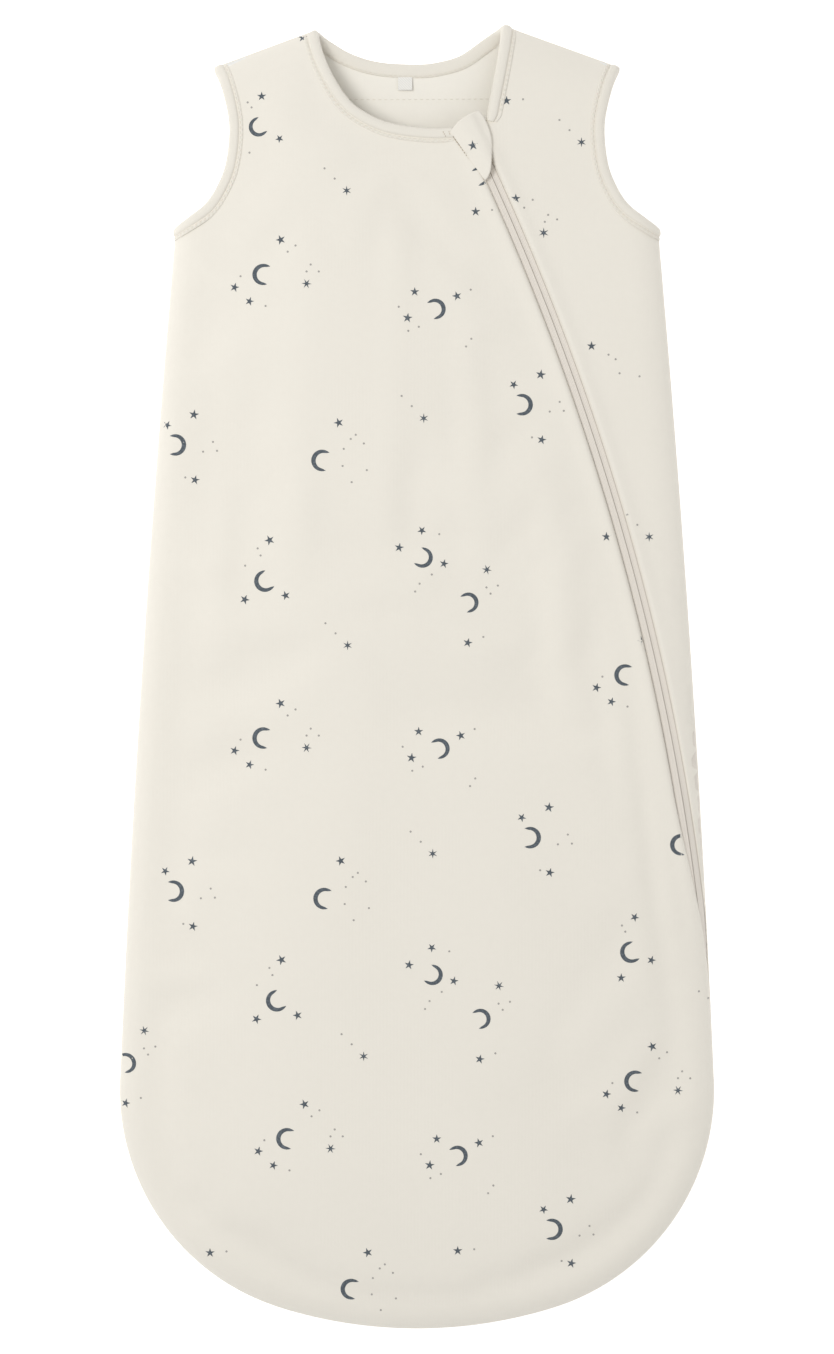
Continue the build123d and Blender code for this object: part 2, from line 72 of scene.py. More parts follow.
def smooth_line(stations: Sequence[Spot], step: float) -> np.ndarray:
    """Draw a soft curve through a few places.

    Args:
        stations: The places, in order.
        step: Distance between the points of the curve.

    Returns:
        The curve's points, one row each.
    """
    knots = np.array(stations, float)
    padded = np.vstack([2 * knots[0] - knots[1], knots, 2 * knots[-1] - knots[-2]])
    fine = []
    for i in range(1, len(padded) - 2):
        before, here, there, after = padded[i - 1 : i + 3]
        for t in np.linspace(0, 1, 12, endpoint=False):
            fine.append(
                0.5
                * (
                    2 * here
                    + (there - before) * t
                    + (2 * before - 5 * here + 4 * there - after) * t**2
                    + (3 * here - before - 3 * there + after) * t**3
                )
            )
    fine.append(knots[-1])
    return even_line(np.array(fine), step)


def even_line(line: np.ndarray, step: float) -> np.ndarray:
    """Space a line's points evenly.

    Args:
        line: The points of an open line.
        step: The distance wanted between points.

    Returns:
        New points on the same line, with the same two ends.
    """
    runs = np.linalg.norm(np.diff(line, axis=0), axis=1)
    along = np.concatenate([[0], np.cumsum(runs)])
    count = max(2, int(round(along[-1] / step)) + 1)
    marks = np.linspace(0, along[-1], count)
    return np.column_stack([np.interp(marks, along, line[:, k]) for k in range(line.shape[1])])


def arc_line(centre: Spot, radius: float, start: float, end: float, step: float) -> np.ndarray:
    """Points on an arc.

    Args:
        centre: Middle of the circle.
        radius: Its radius.
        start: First angle in radians.
        end: Last angle in radians.
        step: Distance between points.

    Returns:
        The points, from the first angle to the last.
    """
    count = max(2, int(abs(end - start) * radius / step) + 1)
    turns = np.linspace(start, end, count)
    return np.column_stack([centre[0] + radius * np.cos(turns), centre[1] + radius * np.sin(turns)])


def reach_to(places: np.ndarray, line: np.ndarray, closed: bool = False) -> np.ndarray:
    """Distance from each place to a line.

    Args:
        places: Flat places, one row each.
        line: The line's points.
        closed: Whether the line's end joins its start.

    Returns:
        One distance for each place.
    """
    starts = line if closed else line[:-1]
    ends = np.roll(line, -1, 0) if closed else line[1:]
    best = np.full(len(places), np.inf)
    for start, end in zip(starts, ends):
        run = end - start
        share = np.clip(((places - start) @ run) / max(run @ run, 1e-12), 0, 1)
        gap = places - start - share[:, None] * run
        best = np.minimum(best, np.hypot(gap[:, 0], gap[:, 1]))
    return best


def is_inside(places: np.ndarray, loop: np.ndarray) -> np.ndarray:
    """Tell which places lie inside a closed loop.

    Args:
        places: Flat places, one row each.
        loop: The loop's points.

    Returns:
        True or False for each place.
    """
    found = np.zeros(len(places), bool)
    x, y = places[:, 0], places[:, 1]
    for (x0, y0), (x1, y1) in zip(loop, np.roll(loop, -1, 0)):
        if y0 == y1:
            continue
        crosses = ((y0 > y) != (y1 > y)) & (x < (x1 - x0) * (y - y0) / (y1 - y0) + x0)
        found ^= crosses
    return found


def beside(line: np.ndarray, amount: float) -> np.ndarray:
    """The same flat line moved to its left by an amount.

    Args:
        line: The line's points.
        amount: How far to move it; below nought moves it to the right.

    Returns:
        The moved points.
    """
    run = np.gradient(line, axis=0)
    run /= np.linalg.norm(run, axis=1)[:, None]
    return line + amount * np.column_stack([-run[:, 1], run[:, 0]])


@dataclass
class Sheet:
    """A curved sheet of triangles.

    Attributes:
        points: Its corners in millimetres, one row each.
        faces: Three corner numbers for each triangle, turned so that it faces outwards.
    """

    points: np.ndarray
    faces: np.ndarray

    def normals(self) -> np.ndarray:
        """The outward direction at each corner."""
        a, b, c = (self.points[self.faces[:, k]] for k in range(3))
        across = np.cross(b - a, c - a)
        total = np.zeros_like(self.points)
        for k in range(3):
            np.add.at(total, self.faces[:, k], across)
        return total / np.maximum(np.linalg.norm(total, axis=1), 1e-12)[:, None]

    def area(self) -> float:
        """Its area in square metres."""
        a, b, c = (self.points[self.faces[:, k]] for k in range(3))
        return float(np.linalg.norm(np.cross(b - a, c - a), axis=1).sum() / 2 * MM**2)

    def clear_of(self, line: np.ndarray, gap: float) -> "Sheet":
        """The sheet without the triangles that come nearer than a gap to a flat line."""
        near = reach_to(self.points[:, :2], line) < gap
        faces = self.faces[~near[self.faces].any(1)]
        used = np.unique(faces)
        return Sheet(self.points[used], np.searchsorted(used, faces))

    def rim(self) -> list[tuple[int, int]]:
        """The sheet's outer edges, each in the direction that its triangle has it."""
        sides = {}
        for a, b, c in self.faces.tolist():
            for side in ((a, b), (b, c), (c, a)):
                if (side[1], side[0]) in sides:
                    del sides[(side[1], side[0])]
                else:
                    sides[side] = True
        return list(sides)

    def layer(self, over: float, under: float) -> tuple[np.ndarray, list[tuple[int, ...]]]:
        """Give the sheet a thickness.

        Args:
            over: Depth of the layer's outer face below the sheet.
            under: Depth of its inner face.

        Returns:
            The layer's corners and faces, as one closed form.
        """
        out = self.normals()
        count = len(self.points)
        corners = np.vstack([self.points - over * out, self.points - under * out])
        faces = [tuple(face) for face in self.faces.tolist()]
        faces += [(c + count, b + count, a + count) for a, b, c in self.faces.tolist()]
        faces += [(b, a, a + count, b + count) for a, b in self.rim()]
        return corners, faces


def fill_loop(loop: np.ndarray, extra: np.ndarray, pitch: float, bare: Callable) -> tuple[np.ndarray, np.ndarray]:
    """Fill a flat loop with even triangles.

    Args:
        loop: The panel's outline.
        extra: Places inside it that have to be corners, such as those of a rolled edge.
        pitch: Size of a triangle away from the edges.
        bare: Says which places are left to the extra corners.

    Returns:
        The flat corners and the triangles, turned anticlockwise.
    """
    low, high = loop.min(0), loop.max(0)
    rows = np.arange(low[1], high[1], pitch * 0.866)
    grid = np.array(
        [(x + pitch / 2 * (i % 2), y) for i, y in enumerate(rows) for x in np.arange(low[0], high[0], pitch)]
    )
    grid = grid[is_inside(grid, loop)]
    grid = grid[(reach_to(grid, loop, True) > 0.55 * pitch) & ~bare(grid)]
    if len(extra):
        tree = KDTree(len(extra))
        for i, (x, y) in enumerate(extra):
            tree.insert((x, y, 0), i)
        tree.balance()
        grid = grid[np.array([tree.find((x, y, 0))[2] > 0.55 * pitch for x, y in grid], bool)]
    places = [Vector(p) for p in np.vstack([loop, *([extra] if len(extra) else []), grid]).tolist()]
    made = delaunay_2d_cdt(places, [], [list(range(len(loop)))], 1, 1e-5)
    corners = np.array([tuple(v) for v in made[0]])
    faces = np.array([face for face in made[2] if len(face) == 3])
    a, b, c = (corners[faces[:, k]] for k in range(3))
    turn = (b[:, 0] - a[:, 0]) * (c[:, 1] - a[:, 1]) - (b[:, 1] - a[:, 1]) * (c[:, 0] - a[:, 0])
    faces[turn < 0] = faces[turn < 0][:, ::-1]
    return corners, faces[np.abs(turn) > 1e-6]


def make_piece(
    name: str,
    corners: np.ndarray,
    faces: Iterable[tuple[int, ...]],
    material: bpy.types.Material,
    run: np.ndarray | None = None,
    smooth: float = 40.0,
) -> bpy.types.Object:
    """Make a mesh piece with its place in its mesh.

    Args:
        name: The piece's name.
        corners: Its corners in millimetres.
        faces: Its faces.
        material: Its finish.
        run: For each corner, how far it is along and across the piece in millimetres, for a
            pattern that follows the piece.
        smooth: Edges that turn by less than this many degrees look soft.

    Returns:
        The new object.
    """
    mesh = bpy.data.meshes.new(name)
    mesh.from_pydata((np.asarray(corners, float) * MM).tolist(), [], [tuple(f) for f in faces])
    mesh.validate()
    if run is not None:
        layer = mesh.uv_layers.new(name="run")
        for loop in mesh.loops:
            layer.data[loop.index].uv = run[loop.vertex_index] * MM
    mesh.materials.append(material)
    piece = bpy.data.objects.new(name, mesh)
    bpy.context.scene.collection.objects.link(piece)
    bm = bmesh.new()
    bm.from_mesh(mesh)
    bmesh.ops.recalc_face_normals(bm, faces=bm.faces)
    bm.to_mesh(mesh)
    bm.free()
    mesh.polygons.foreach_set("use_smooth", [True] * len(mesh.polygons))
    only(piece)
    bpy.ops.object.shade_smooth_by_angle(angle=math.radians(smooth))
    return piece


def only(piece: bpy.types.Object) -> None:
    """Select one piece and nothing else."""
    bpy.ops.object.select_all(action="DESELECT")
    piece.select_set(True)
    bpy.context.view_layer.objects.active = piece


def sweep(
    line: np.ndarray,
    into: np.ndarray,
    out: np.ndarray,
    section: Sequence[Spot],
    closed: bool,
    taper: np.ndarray | None = None,
) -> tuple[np.ndarray, list[tuple[int, ...]], np.ndarray]:
    """Carry a closed section along a line.

    Args:
        line: The line's points in millimetres.
        into: At each point, the direction of the section's first measure.
        out: At each point, the direction of its second measure.
        section: The section's corners.
        closed: Whether the line's end joins its start.
        taper: At each point, the share of the section's width that is kept.

    Returns:
        Corners, faces, and how far each corner is along and across.
    """
    kept = np.ones(len(line)) if taper is None else taper
    section_array = np.array(section, float)
    count = len(section_array)
    corners = (
        line[:, None, :]
        + kept[:, None, None] * section_array[None, :, 0, None] * into[:, None, :]
        + section_array[None, :, 1, None] * out[:, None, :]
    ).reshape(-1, 3)
    runs = np.concatenate([[0], np.cumsum(np.linalg.norm(np.diff(line, axis=0), axis=1))])
    girth = np.concatenate([[0], np.cumsum(np.linalg.norm(np.diff(section_array, axis=0), axis=1))])
    run = np.array([(a, g) for a in runs for g in girth])
    faces = []
    rings = len(line)
    for i in range(rings if closed else rings - 1):
        here, there = i * count, (i + 1) % rings * count
        for k in range(count):
            nxt = (k + 1) % count
            faces.append((here + k, here + nxt, there + nxt, there + k))
    if not closed:
        faces.append(tuple(range(count - 1, -1, -1)))
        faces.append(tuple((rings - 1) * count + k for k in range(count)))
    return corners, faces, run


def unit(rows: np.ndarray) -> np.ndarray:
    """Each row at a length of one."""
    return rows / np.maximum(np.linalg.norm(rows, axis=1), 1e-12)[:, None]


def soften(rows: np.ndarray, rounds: int, closed: bool = False) -> np.ndarray:
    """Even out rows against their neighbours, leaving an open line's ends alone."""
    rows = rows.copy()
    for _ in range(rounds):
        mean = (np.roll(rows, 1, 0) + 2 * rows + np.roll(rows, -1, 0)) / 4
        if not closed:
            mean[0], mean[-1] = rows[0], rows[-1]
        rows = mean
    return rows


# ------------------------------------------------------------------------------------- finishes


class Follows(Enum):
    """What a pattern keeps to."""

    PLACE = "Object"
    RUN = "UV"


def linear(colour: Colour) -> tuple[float, float, float, float]:
    """A screen colour from 0 to 255 as the shader's own numbers."""
    shares = [c / 255 for c in colour]
    return (*[s / 12.92 if s <= 0.04045 else ((s + 0.055) / 1.055) ** 2.4 for s in shares], 1.0)


class NodeBench:
    """A material's node tree, while it is being put together."""

    def __init__(self, name: str) -> None:
        """Start an empty material with its shader and output."""
        self.material = bpy.data.materials.new(name)
        self.material.use_nodes = True
        self.tree = self.material.node_tree
        self.shader = self.tree.nodes["Principled BSDF"]

    def add(self, kind: str, links: dict | None = None, **settings: object) -> bpy.types.Node:
        """Add a node.

        Args:
            kind: The node's type without its common start.
            links: Input names or numbers with the output or the value that each takes.
            settings: Attributes of the node.

        Returns:
            The node.
        """
        node = self.tree.nodes.new("ShaderNode" + kind)
        for key, value in settings.items():
            setattr(node, key, value)
        for key, value in (links or {}).items():
            if isinstance(value, bpy.types.NodeSocket):
                self.tree.links.new(value, node.inputs[key])
            else:
                node.inputs[key].default_value = value
        return node

    def place(self, follows: Follows) -> bpy.types.NodeSocket:
        """The coordinates that a pattern reads."""
        if follows is Follows.RUN:
            return self.add("UVMap", uv_map="run").outputs["UV"]
        return self.add("TexCoord").outputs["Object"]

    def bands(self, place: bpy.types.NodeSocket, axis: str, period: float, wobble: float) -> bpy.types.NodeSocket:
        """Even ridges, a period in millimetres apart, across one axis."""
        scale = 2 * math.pi / (20 * period * MM)
        wave = self.add(
            "TexWave",
            {"Vector": place, "Scale": scale, "Distortion": wobble, "Detail": 1.0, "Detail Scale": 0.4},
            wave_type="BANDS",
            bands_direction=axis,
        )
        return wave.outputs["Fac"]

    def math(self, operation: str, first: object, second: object) -> bpy.types.NodeSocket:
        """One sum of two values."""
        return self.add("Math", {0: first, 1: second}, operation=operation).outputs[0]

    def bump(self, height: bpy.types.NodeSocket, depth: float, strength: float) -> None:
        """Turn a height from 0 to 1 into relief of a depth in millimetres."""
        bump = self.add("Bump", {"Height": height, "Distance": depth * MM, "Strength": strength})
        self.tree.links.new(bump.outputs[0], self.shader.inputs["Normal"])

    def tint(self, amount: bpy.types.NodeSocket, low: Colour, high: Colour) -> bpy.types.NodeSocket:
        """A colour between two, by an amount from 0 to 1."""
        mix = self.add("Mix", {"Factor": amount, "A": linear(low), "B": linear(high)}, data_type="RGBA")
        return mix.outputs["Result"]

    def set(self, **values: float) -> None:
        """Set the shader's own sockets; an underline stands for a space."""
        for key, value in values.items():
            self.shader.inputs[key.replace("_", " ")].default_value = value


def shade(colour: Colour, amount: float) -> Colour:
    """A colour made lighter, or darker below nought, by so many steps of 255."""
    return tuple(min(255.0, max(0.0, c + amount)) for c in colour)


@dataclass(frozen=True)
class KnitFinish:
    """Fine cotton knit: columns of stitches, faint mottling and a soft nap.

    Attributes:
        name: The material's name.
        colour: Its colour on screen.
        column: Width of one column of stitches.
        row: Height of one row of stitches.
        depth: Relief of the stitches.
        mottle: How much the colour varies, in steps of 255.
        follows: What the stitches keep to.
        sheen: Softness of the nap.
    """

    name: str
    colour: Colour
    column: float = 0.75
    row: float = 0.55
    depth: float = 0.1
    mottle: float = 3.0
    follows: Follows = Follows.PLACE
    sheen: float = 0.12

    def material(self) -> bpy.types.Material:
        """Build the material."""
        bench = NodeBench(self.name)
        place = bench.place(self.follows)
        columns = bench.bands(place, "X", self.column, 0.6)
        rows = bench.bands(place, "Y", self.row, 1.5)
        loops = bench.math("MULTIPLY", columns, rows)
        nap = bench.add("TexNoise", {"Vector": place, "Scale": 700.0, "Detail": 4.0, "Roughness": 0.7}).outputs["Fac"]
        cloud = bench.add("TexNoise", {"Vector": place, "Scale": 14.0, "Detail": 3.0, "Roughness": 0.5}).outputs["Fac"]
        fleck = bench.add("TexNoise", {"Vector": place, "Scale": 260.0, "Detail": 2.0}).outputs["Fac"]
        amount = bench.math("ADD", bench.math("MULTIPLY", cloud, 0.6), bench.math("MULTIPLY", fleck, 0.4))
        body = bench.tint(amount, shade(self.colour, -self.mottle), shade(self.colour, self.mottle))
        dip = bench.add("Mix", {"Factor": bench.math("MULTIPLY", loops, 0.05), "A": body}, data_type="RGBA")
        dip.inputs["B"].default_value = linear(shade(self.colour, -30))
        bench.tree.links.new(dip.outputs["Result"], bench.shader.inputs["Base Color"])
        wear = bench.add("MapRange", {"Value": cloud, "To Min": 0.84, "To Max": 0.96}).outputs["Result"]
        bench.tree.links.new(wear, bench.shader.inputs["Roughness"])
        height = bench.math("ADD", bench.math("MULTIPLY", loops, 0.6), bench.math("MULTIPLY", nap, 0.5))
        bench.bump(height, self.depth, 0.5)
        bench.set(Sheen_Weight=self.sheen, Sheen_Roughness=0.6, Specular_IOR_Level=0.2)
        return bench.material


@dataclass(frozen=True)
class WaddingFinish:
    """Loose polyester wadding: matted fibre with no weave."""

    name: str = "wadding"
    colour: Colour = (244, 243, 238)

    def material(self) -> bpy.types.Material:
        """Build the material."""
        bench = NodeBench(self.name)
        place = bench.place(Follows.PLACE)
        fibre = bench.add("TexNoise", {"Vector": place, "Scale": 400.0, "Detail": 6.0, "Distortion": 2.0}).outputs["Fac"]
        colour = bench.tint(fibre, shade(self.colour, -14), self.colour)
        bench.tree.links.new(colour, bench.shader.inputs["Base Color"])
        bench.bump(fibre, 0.5, 0.8)
        bench.set(Roughness=0.97, Sheen_Weight=0.3)
        return bench.material


@dataclass(frozen=True)
class TapeFinish:
    """Woven zip tape: a fine twill whose ribs run along the tape, with painted shade lines along it where the tapes
    meet and where the cloth edges overhang it.

    Attributes:
        name: The material's name.
        colour: Its colour on screen.
        shade_lines: How far across the tape each painted shade line is, in millimetres: the tapes' meeting line and the
            shade along the two cloth edges.
        shade_line_width: Half the width of a painted shade line.
    """

    name: str = "zip_tape_weave_painted_shade"
    colour: Colour = (243, 236, 226)
    # painted shade lines: the tapes' meeting line, and the shade that the two cloth edges cast on the tapes
    shade_lines: tuple[float, ...] = (0.05, 3.3, -4.2)
    shade_line_width: float = 0.42

    def material(self) -> bpy.types.Material:
        """Build the material."""
        bench = NodeBench(self.name)
        place = bench.place(Follows.RUN)
        ribs = bench.bands(place, "Y", 0.5, 0.2)
        picks = bench.bands(place, "DIAGONAL", 0.7, 0.3)
        weave = bench.math("MULTIPLY", ribs, picks)
        colour = bench.tint(weave, shade(self.colour, -16), shade(self.colour, 3))
        across = bench.add("SeparateXYZ", {"Vector": place}).outputs["Y"]
        # each line darkens the tape towards a dark colour as painted shade
        for crease in self.shade_lines:
            gap = bench.math("ABSOLUTE", bench.math("SUBTRACT", across, crease * MM), 0.0)
            painted_shade = bench.add("MapRange", {"Value": gap, "From Max": self.shade_line_width * MM, "To Min": 0.75, "To Max": 0.0})
            mix = bench.add("Mix", {"Factor": painted_shade.outputs["Result"], "A": colour}, data_type="RGBA")
            mix.inputs["B"].default_value = linear(shade(self.colour, -62))
            colour = mix.outputs["Result"]
        bench.tree.links.new(colour, bench.shader.inputs["Base Color"])
        bench.bump(weave, 0.12, 0.7)
        bench.set(Roughness=0.8, Sheen_Weight=0.1, Specular_IOR_Level=0.3)
        return bench.material


@dataclass(frozen=True)
class PlasticFinish:
    """Smooth moulded or drawn plastic, a little cloudy.

    Attributes:
        name: The material's name.
        colour: Its colour on screen.
        gloss: Roughness of the surface.
    """

    name: str
    colour: Colour
    gloss: float = 0.38

    def material(self) -> bpy.types.Material:
        """Build the material."""
        bench = NodeBench(self.name)
        place = bench.place(Follows.PLACE)
        cloud = bench.add("TexNoise", {"Vector": place, "Scale": 300.0, "Detail": 2.0}).outputs["Fac"]
        colour = bench.tint(cloud, shade(self.colour, -6), shade(self.colour, 4))
        bench.tree.links.new(colour, bench.shader.inputs["Base Color"])
        bench.bump(cloud, 0.03, 0.4)
        bench.set(Roughness=self.gloss, Subsurface_Weight=0.05, Subsurface_Scale=0.001)
        return bench.material


@dataclass(frozen=True)
class EnamelFinish:
    """Cast metal under a thin coat of cream enamel, rubbed a little on its edges."""

    name: str = "slider_enamel"
    colour: Colour = (232, 225, 212)
    bare: Colour = (190, 182, 168)

    def material(self) -> bpy.types.Material:
        """Build the material."""
        bench = NodeBench(self.name)
        place = bench.place(Follows.PLACE)
        rub = bench.add("TexNoise", {"Vector": place, "Scale": 500.0, "Detail": 5.0}).outputs["Fac"]
        edge = bench.add("NewGeometry").outputs["Pointiness"]
        sharp = bench.add("MapRange", {"Value": edge, "From Min": 0.53, "From Max": 0.6}).outputs["Result"]
        worn = bench.math("MULTIPLY", sharp, rub)
        colour = bench.tint(worn, self.colour, self.bare)
        bench.tree.links.new(colour, bench.shader.inputs["Base Color"])
        gloss = bench.add("MapRange", {"Value": rub, "To Min": 0.22, "To Max": 0.4}).outputs["Result"]
        bench.tree.links.new(gloss, bench.shader.inputs["Roughness"])
        bench.bump(rub, 0.02, 0.3)
        bench.set(Metallic=0.15, Coat_Weight=0.4, Coat_Roughness=0.15)
        return bench.material


@dataclass(frozen=True)
class InkFinish:
    """Water-based print on cloth, worn thin in places so that the cloth shows through."""

    name: str = "slate_print"
    colour: Colour = (88, 95, 101)
    worn: Colour = (118, 126, 133)

    def material(self) -> bpy.types.Material:
        """Build the material."""
        bench = NodeBench(self.name)
        place = bench.place(Follows.PLACE)
        grain = bench.add("TexNoise", {"Vector": place, "Scale": 900.0, "Detail": 3.0}).outputs["Fac"]
        thin = bench.add("MapRange", {"Value": grain, "From Min": 0.45, "From Max": 0.8}).outputs["Result"]
        colour = bench.tint(thin, self.colour, self.worn)
        bench.tree.links.new(colour, bench.shader.inputs["Base Color"])
        bench.bump(grain, 0.05, 0.4)
        bench.set(Roughness=0.9, Specular_IOR_Level=0.15)
        return bench.material


@dataclass(frozen=True)
class Finishes:
    """Every finish of the bag, built once."""

    jersey: bpy.types.Material
    lining: bpy.types.Material
    binding: bpy.types.Material
    wadding: bpy.types.Material
    tape: bpy.types.Material
    coil: bpy.types.Material
    stop: bpy.types.Material
    enamel: bpy.types.Material
    ink: bpy.types.Material
    faint_ink: bpy.types.Material
    thread: bpy.types.Material
    label: bpy.types.Material
    seam: bpy.types.Material

    @classmethod
    def build(cls) -> "Finishes":
        """Build them all."""
        return cls(
            jersey=KnitFinish("outer_jersey", (240, 235, 224)).material(),
            # A paler lining jersey, lightened further as painted light so that the shaded inside of the neck opening
            # looks as bright as the outside.
            lining=KnitFinish("lining_jersey_painted_light", (246, 242, 232), depth=0.08).material(),
            binding=KnitFinish("binding_rib", (237, 232, 221), 1.1, 0.6, 0.16, follows=Follows.RUN).material(),
            wadding=WaddingFinish().material(),
            tape=TapeFinish().material(),
            coil=PlasticFinish("coil_nylon", (240, 232, 219)).material(),
            stop=PlasticFinish("stop_plastic", (234, 226, 212), 0.3).material(),
            enamel=EnamelFinish().material(),
            ink=InkFinish().material(),
            faint_ink=InkFinish("pale_print", (166, 163, 158), (190, 187, 180)).material(),
            thread=PlasticFinish("cream_thread", (232, 226, 214), 0.6).material(),
            label=TapeFinish("label_weave", (252, 250, 244), ()).material(),
            # Dark thread whose colour paints shadow lines: under the flap's sewn root and at the neckband's end.
            seam=PlasticFinish("painted_shadow_thread", (196, 184, 168), 0.6).material(),
        )


# ----------------------------------------------------------------------------------- the bag's form


class Face(Enum):
    """The two faces of the bag."""

    FRONT = 1
    BACK = -1


@dataclass(frozen=True)
class ZipRun:
    """The zip's arc, in its slanting plane.

    Attributes:
        centre: Middle of the arc.
        radius: Its radius.
        slope: How far the plane falls for each millimetre to the wearer's left.
        height: The plane's height over the middle of the bag.
        top: Height up the bag of the tape's upper end.
        foot: Height up the bag where the zip runs into the side seam.
    """

    centre: Spot = (-1159.1, -283.1)
    radius: float = 1319.4
    slope: float = 0.04
    height: float = 20.0
    top: float = 297.6
    foot: float = -176.0

    def line(self, offset: float, top: float, foot: float, step: float = 3.0) -> np.ndarray:
        """A line beside the zip.

        Args:
            offset: How far the line is from the zip's middle, to the wearer's left.
            top: Height up the bag at its upper end.
            foot: The same at its lower end.
            step: Distance between its points.

        Returns:
            Its flat points, from the top down.
        """
        reach = self.radius + offset
        turns = [math.asin((y - self.centre[1]) / reach) for y in (top, foot)]
        return arc_line(self.centre, reach, turns[0], turns[1], step)


@dataclass(frozen=True)
class BagForm:
    """The bag's outline and the heights of its two faces.

    Attributes:
        top: Half the bag's length.
        half_width: Half its width.
        foot_radius: Radius of the foot's arc.
        corner_radius: Radius of each foot corner.
        corner: Middle of the foot corner's arc on the wearer's left.
        underarm: The underarm on the wearer's left.
        side_bow: How far the sides bow out between the corner and the underarm.
        seam: Height of the seam between front and back.
        roll: Width of the front's rolled edge.
        back_roll: Width of the back's rolled edge.
    """

    top: float = 350.0
    half_width: float = 159.7
    foot_radius: float = 247.4
    corner_radius: float = 122.5
    corner: Spot = (37.2, -221.8)
    underarm: Spot = (129.5, 240.6)
    side_bow: float = 2.6
    neck_end: float = 46.7
    shoulder_slope: float = 0.385
    seam: float = 6.0
    roll: float = 13.0
    back_roll: float = 9.0
    ease: float = 1.3

    def shoulder(self, x: float) -> float:
        """Height up the bag of the shoulder line."""
        return self.top + self.shoulder_slope * (self.neck_end - abs(x))

    def half_outline(self, step: float = 3.0) -> np.ndarray:
        """The outline on the wearer's left, from the foot's middle up to the shoulder tip."""
        foot_middle = (0.0, self.foot_radius - self.top)
        turn = math.atan2(self.corner[1] - foot_middle[1], self.corner[0])
        foot = arc_line(foot_middle, self.foot_radius, -math.pi / 2, turn, step)
        lean = math.radians(3.9)
        corner = arc_line(self.corner, self.corner_radius, turn, lean, step)
        start, end = corner[-1], np.array(self.underarm)
        shares = np.linspace(0, 1, 40)
        side = start + shares[:, None] * (end - start)
        side[:, 0] += self.side_bow * 4 * shares * (1 - shares)
        run = (end - start) / (end - start)[1]
        tip_rise = 0.0
        for rise in np.linspace(60, 110, 501):
            if self.shoulder(end[0] + run[0] * rise) <= end[1] + rise:
                tip_rise = rise
                break
        tip = end + run * tip_rise
        shoulder_line = np.array([end, tip])
        return np.vstack([foot, corner[1:], side[1:], even_line(shoulder_line, step)[1:]])

    def outline(self) -> np.ndarray:
        """The whole outline, with the shoulders' lines running up to the middle, anticlockwise."""
        half = self.half_outline()
        peak = np.array([[0.0, self.shoulder(0)]])
        across = even_line(np.vstack([half[-1:], peak]), 3.0)[1:]
        other = np.vstack([half, across])[::-1][1:-1] * (-1, 1)
        return np.vstack([half, across, other])

    def crown(self, places: np.ndarray, zip_run: ZipRun) -> np.ndarray:
        """Height of the front away from its rolled edge."""
        x, y = places[:, 0], places[:, 1]
        tops = [
            zip_run.height - zip_run.slope * x,
            13.6 + 0.085 * (x + self.half_width),
            13.6 + 0.1 * (y + self.top),
            11.0 + 0.3 * (self.shoulder(0) - self.shoulder_slope * np.abs(x) - y),
        ]
        return -self.ease * np.log(sum(np.exp(-t / self.ease) for t in tops))


@dataclass(frozen=True)
class SoftFold:
    """A soft crease or swell that lies across the front.

    Attributes:
        start: One end.
        end: The other end.
        width: Half its width.
        rise: Its height; below nought it is a hollow.
    """

    start: Spot
    end: Spot
    width: float
    rise: float

    def height(self, places: np.ndarray) -> np.ndarray:
        """Height that the fold adds at each place."""
        start, run = np.array(self.start), np.array(self.end) - np.array(self.start)
        share = ((places - start) @ run) / (run @ run)
        gap = places - start - share[:, None] * run
        off = (gap @ np.array([-run[1], run[0]])) / np.linalg.norm(run)
        fade = np.clip(np.minimum(share, 1 - share) / 0.3, 0, 1)
        fade = fade * fade * (3 - 2 * fade)
        return self.rise * fade * np.exp(-((off / self.width) ** 2))


SOFT_FOLDS = (
    SoftFold((119.0, 20.0), (142.0, -175.0), 4.5, 0.9),
    SoftFold((112.0, 10.0), (134.0, -170.0), 5.0, -0.5),
    SoftFold((-8.0, 262.0), (-16.0, 60.0), 9.0, 0.7),
    SoftFold((26.0, 240.0), (34.0, 40.0), 10.0, 0.6),
    SoftFold((-58.0, 250.0), (-66.0, 30.0), 11.0, 0.6),
    SoftFold((-96.0, 226.0), (-108.0, -10.0), 10.0, 0.5),
    SoftFold((62.0, 200.0), (84.0, -40.0), 12.0, 0.5),
    SoftFold((-30.0, 40.0), (-44.0, -190.0), 16.0, 0.5),
    SoftFold((40.0, -30.0), (56.0, -260.0), 18.0, 0.5),
    SoftFold((-150.0, 66.0), (-96.0, 52.0), 9.0, 0.5),
    SoftFold((-158.0, -168.0), (-104.0, -150.0), 11.0, 0.5),
    SoftFold((158.0, -226.0), (108.0, -246.0), 9.0, 0.5),
    SoftFold((-128.0, 228.0), (-70.0, 196.0), 8.0, 0.4),
)


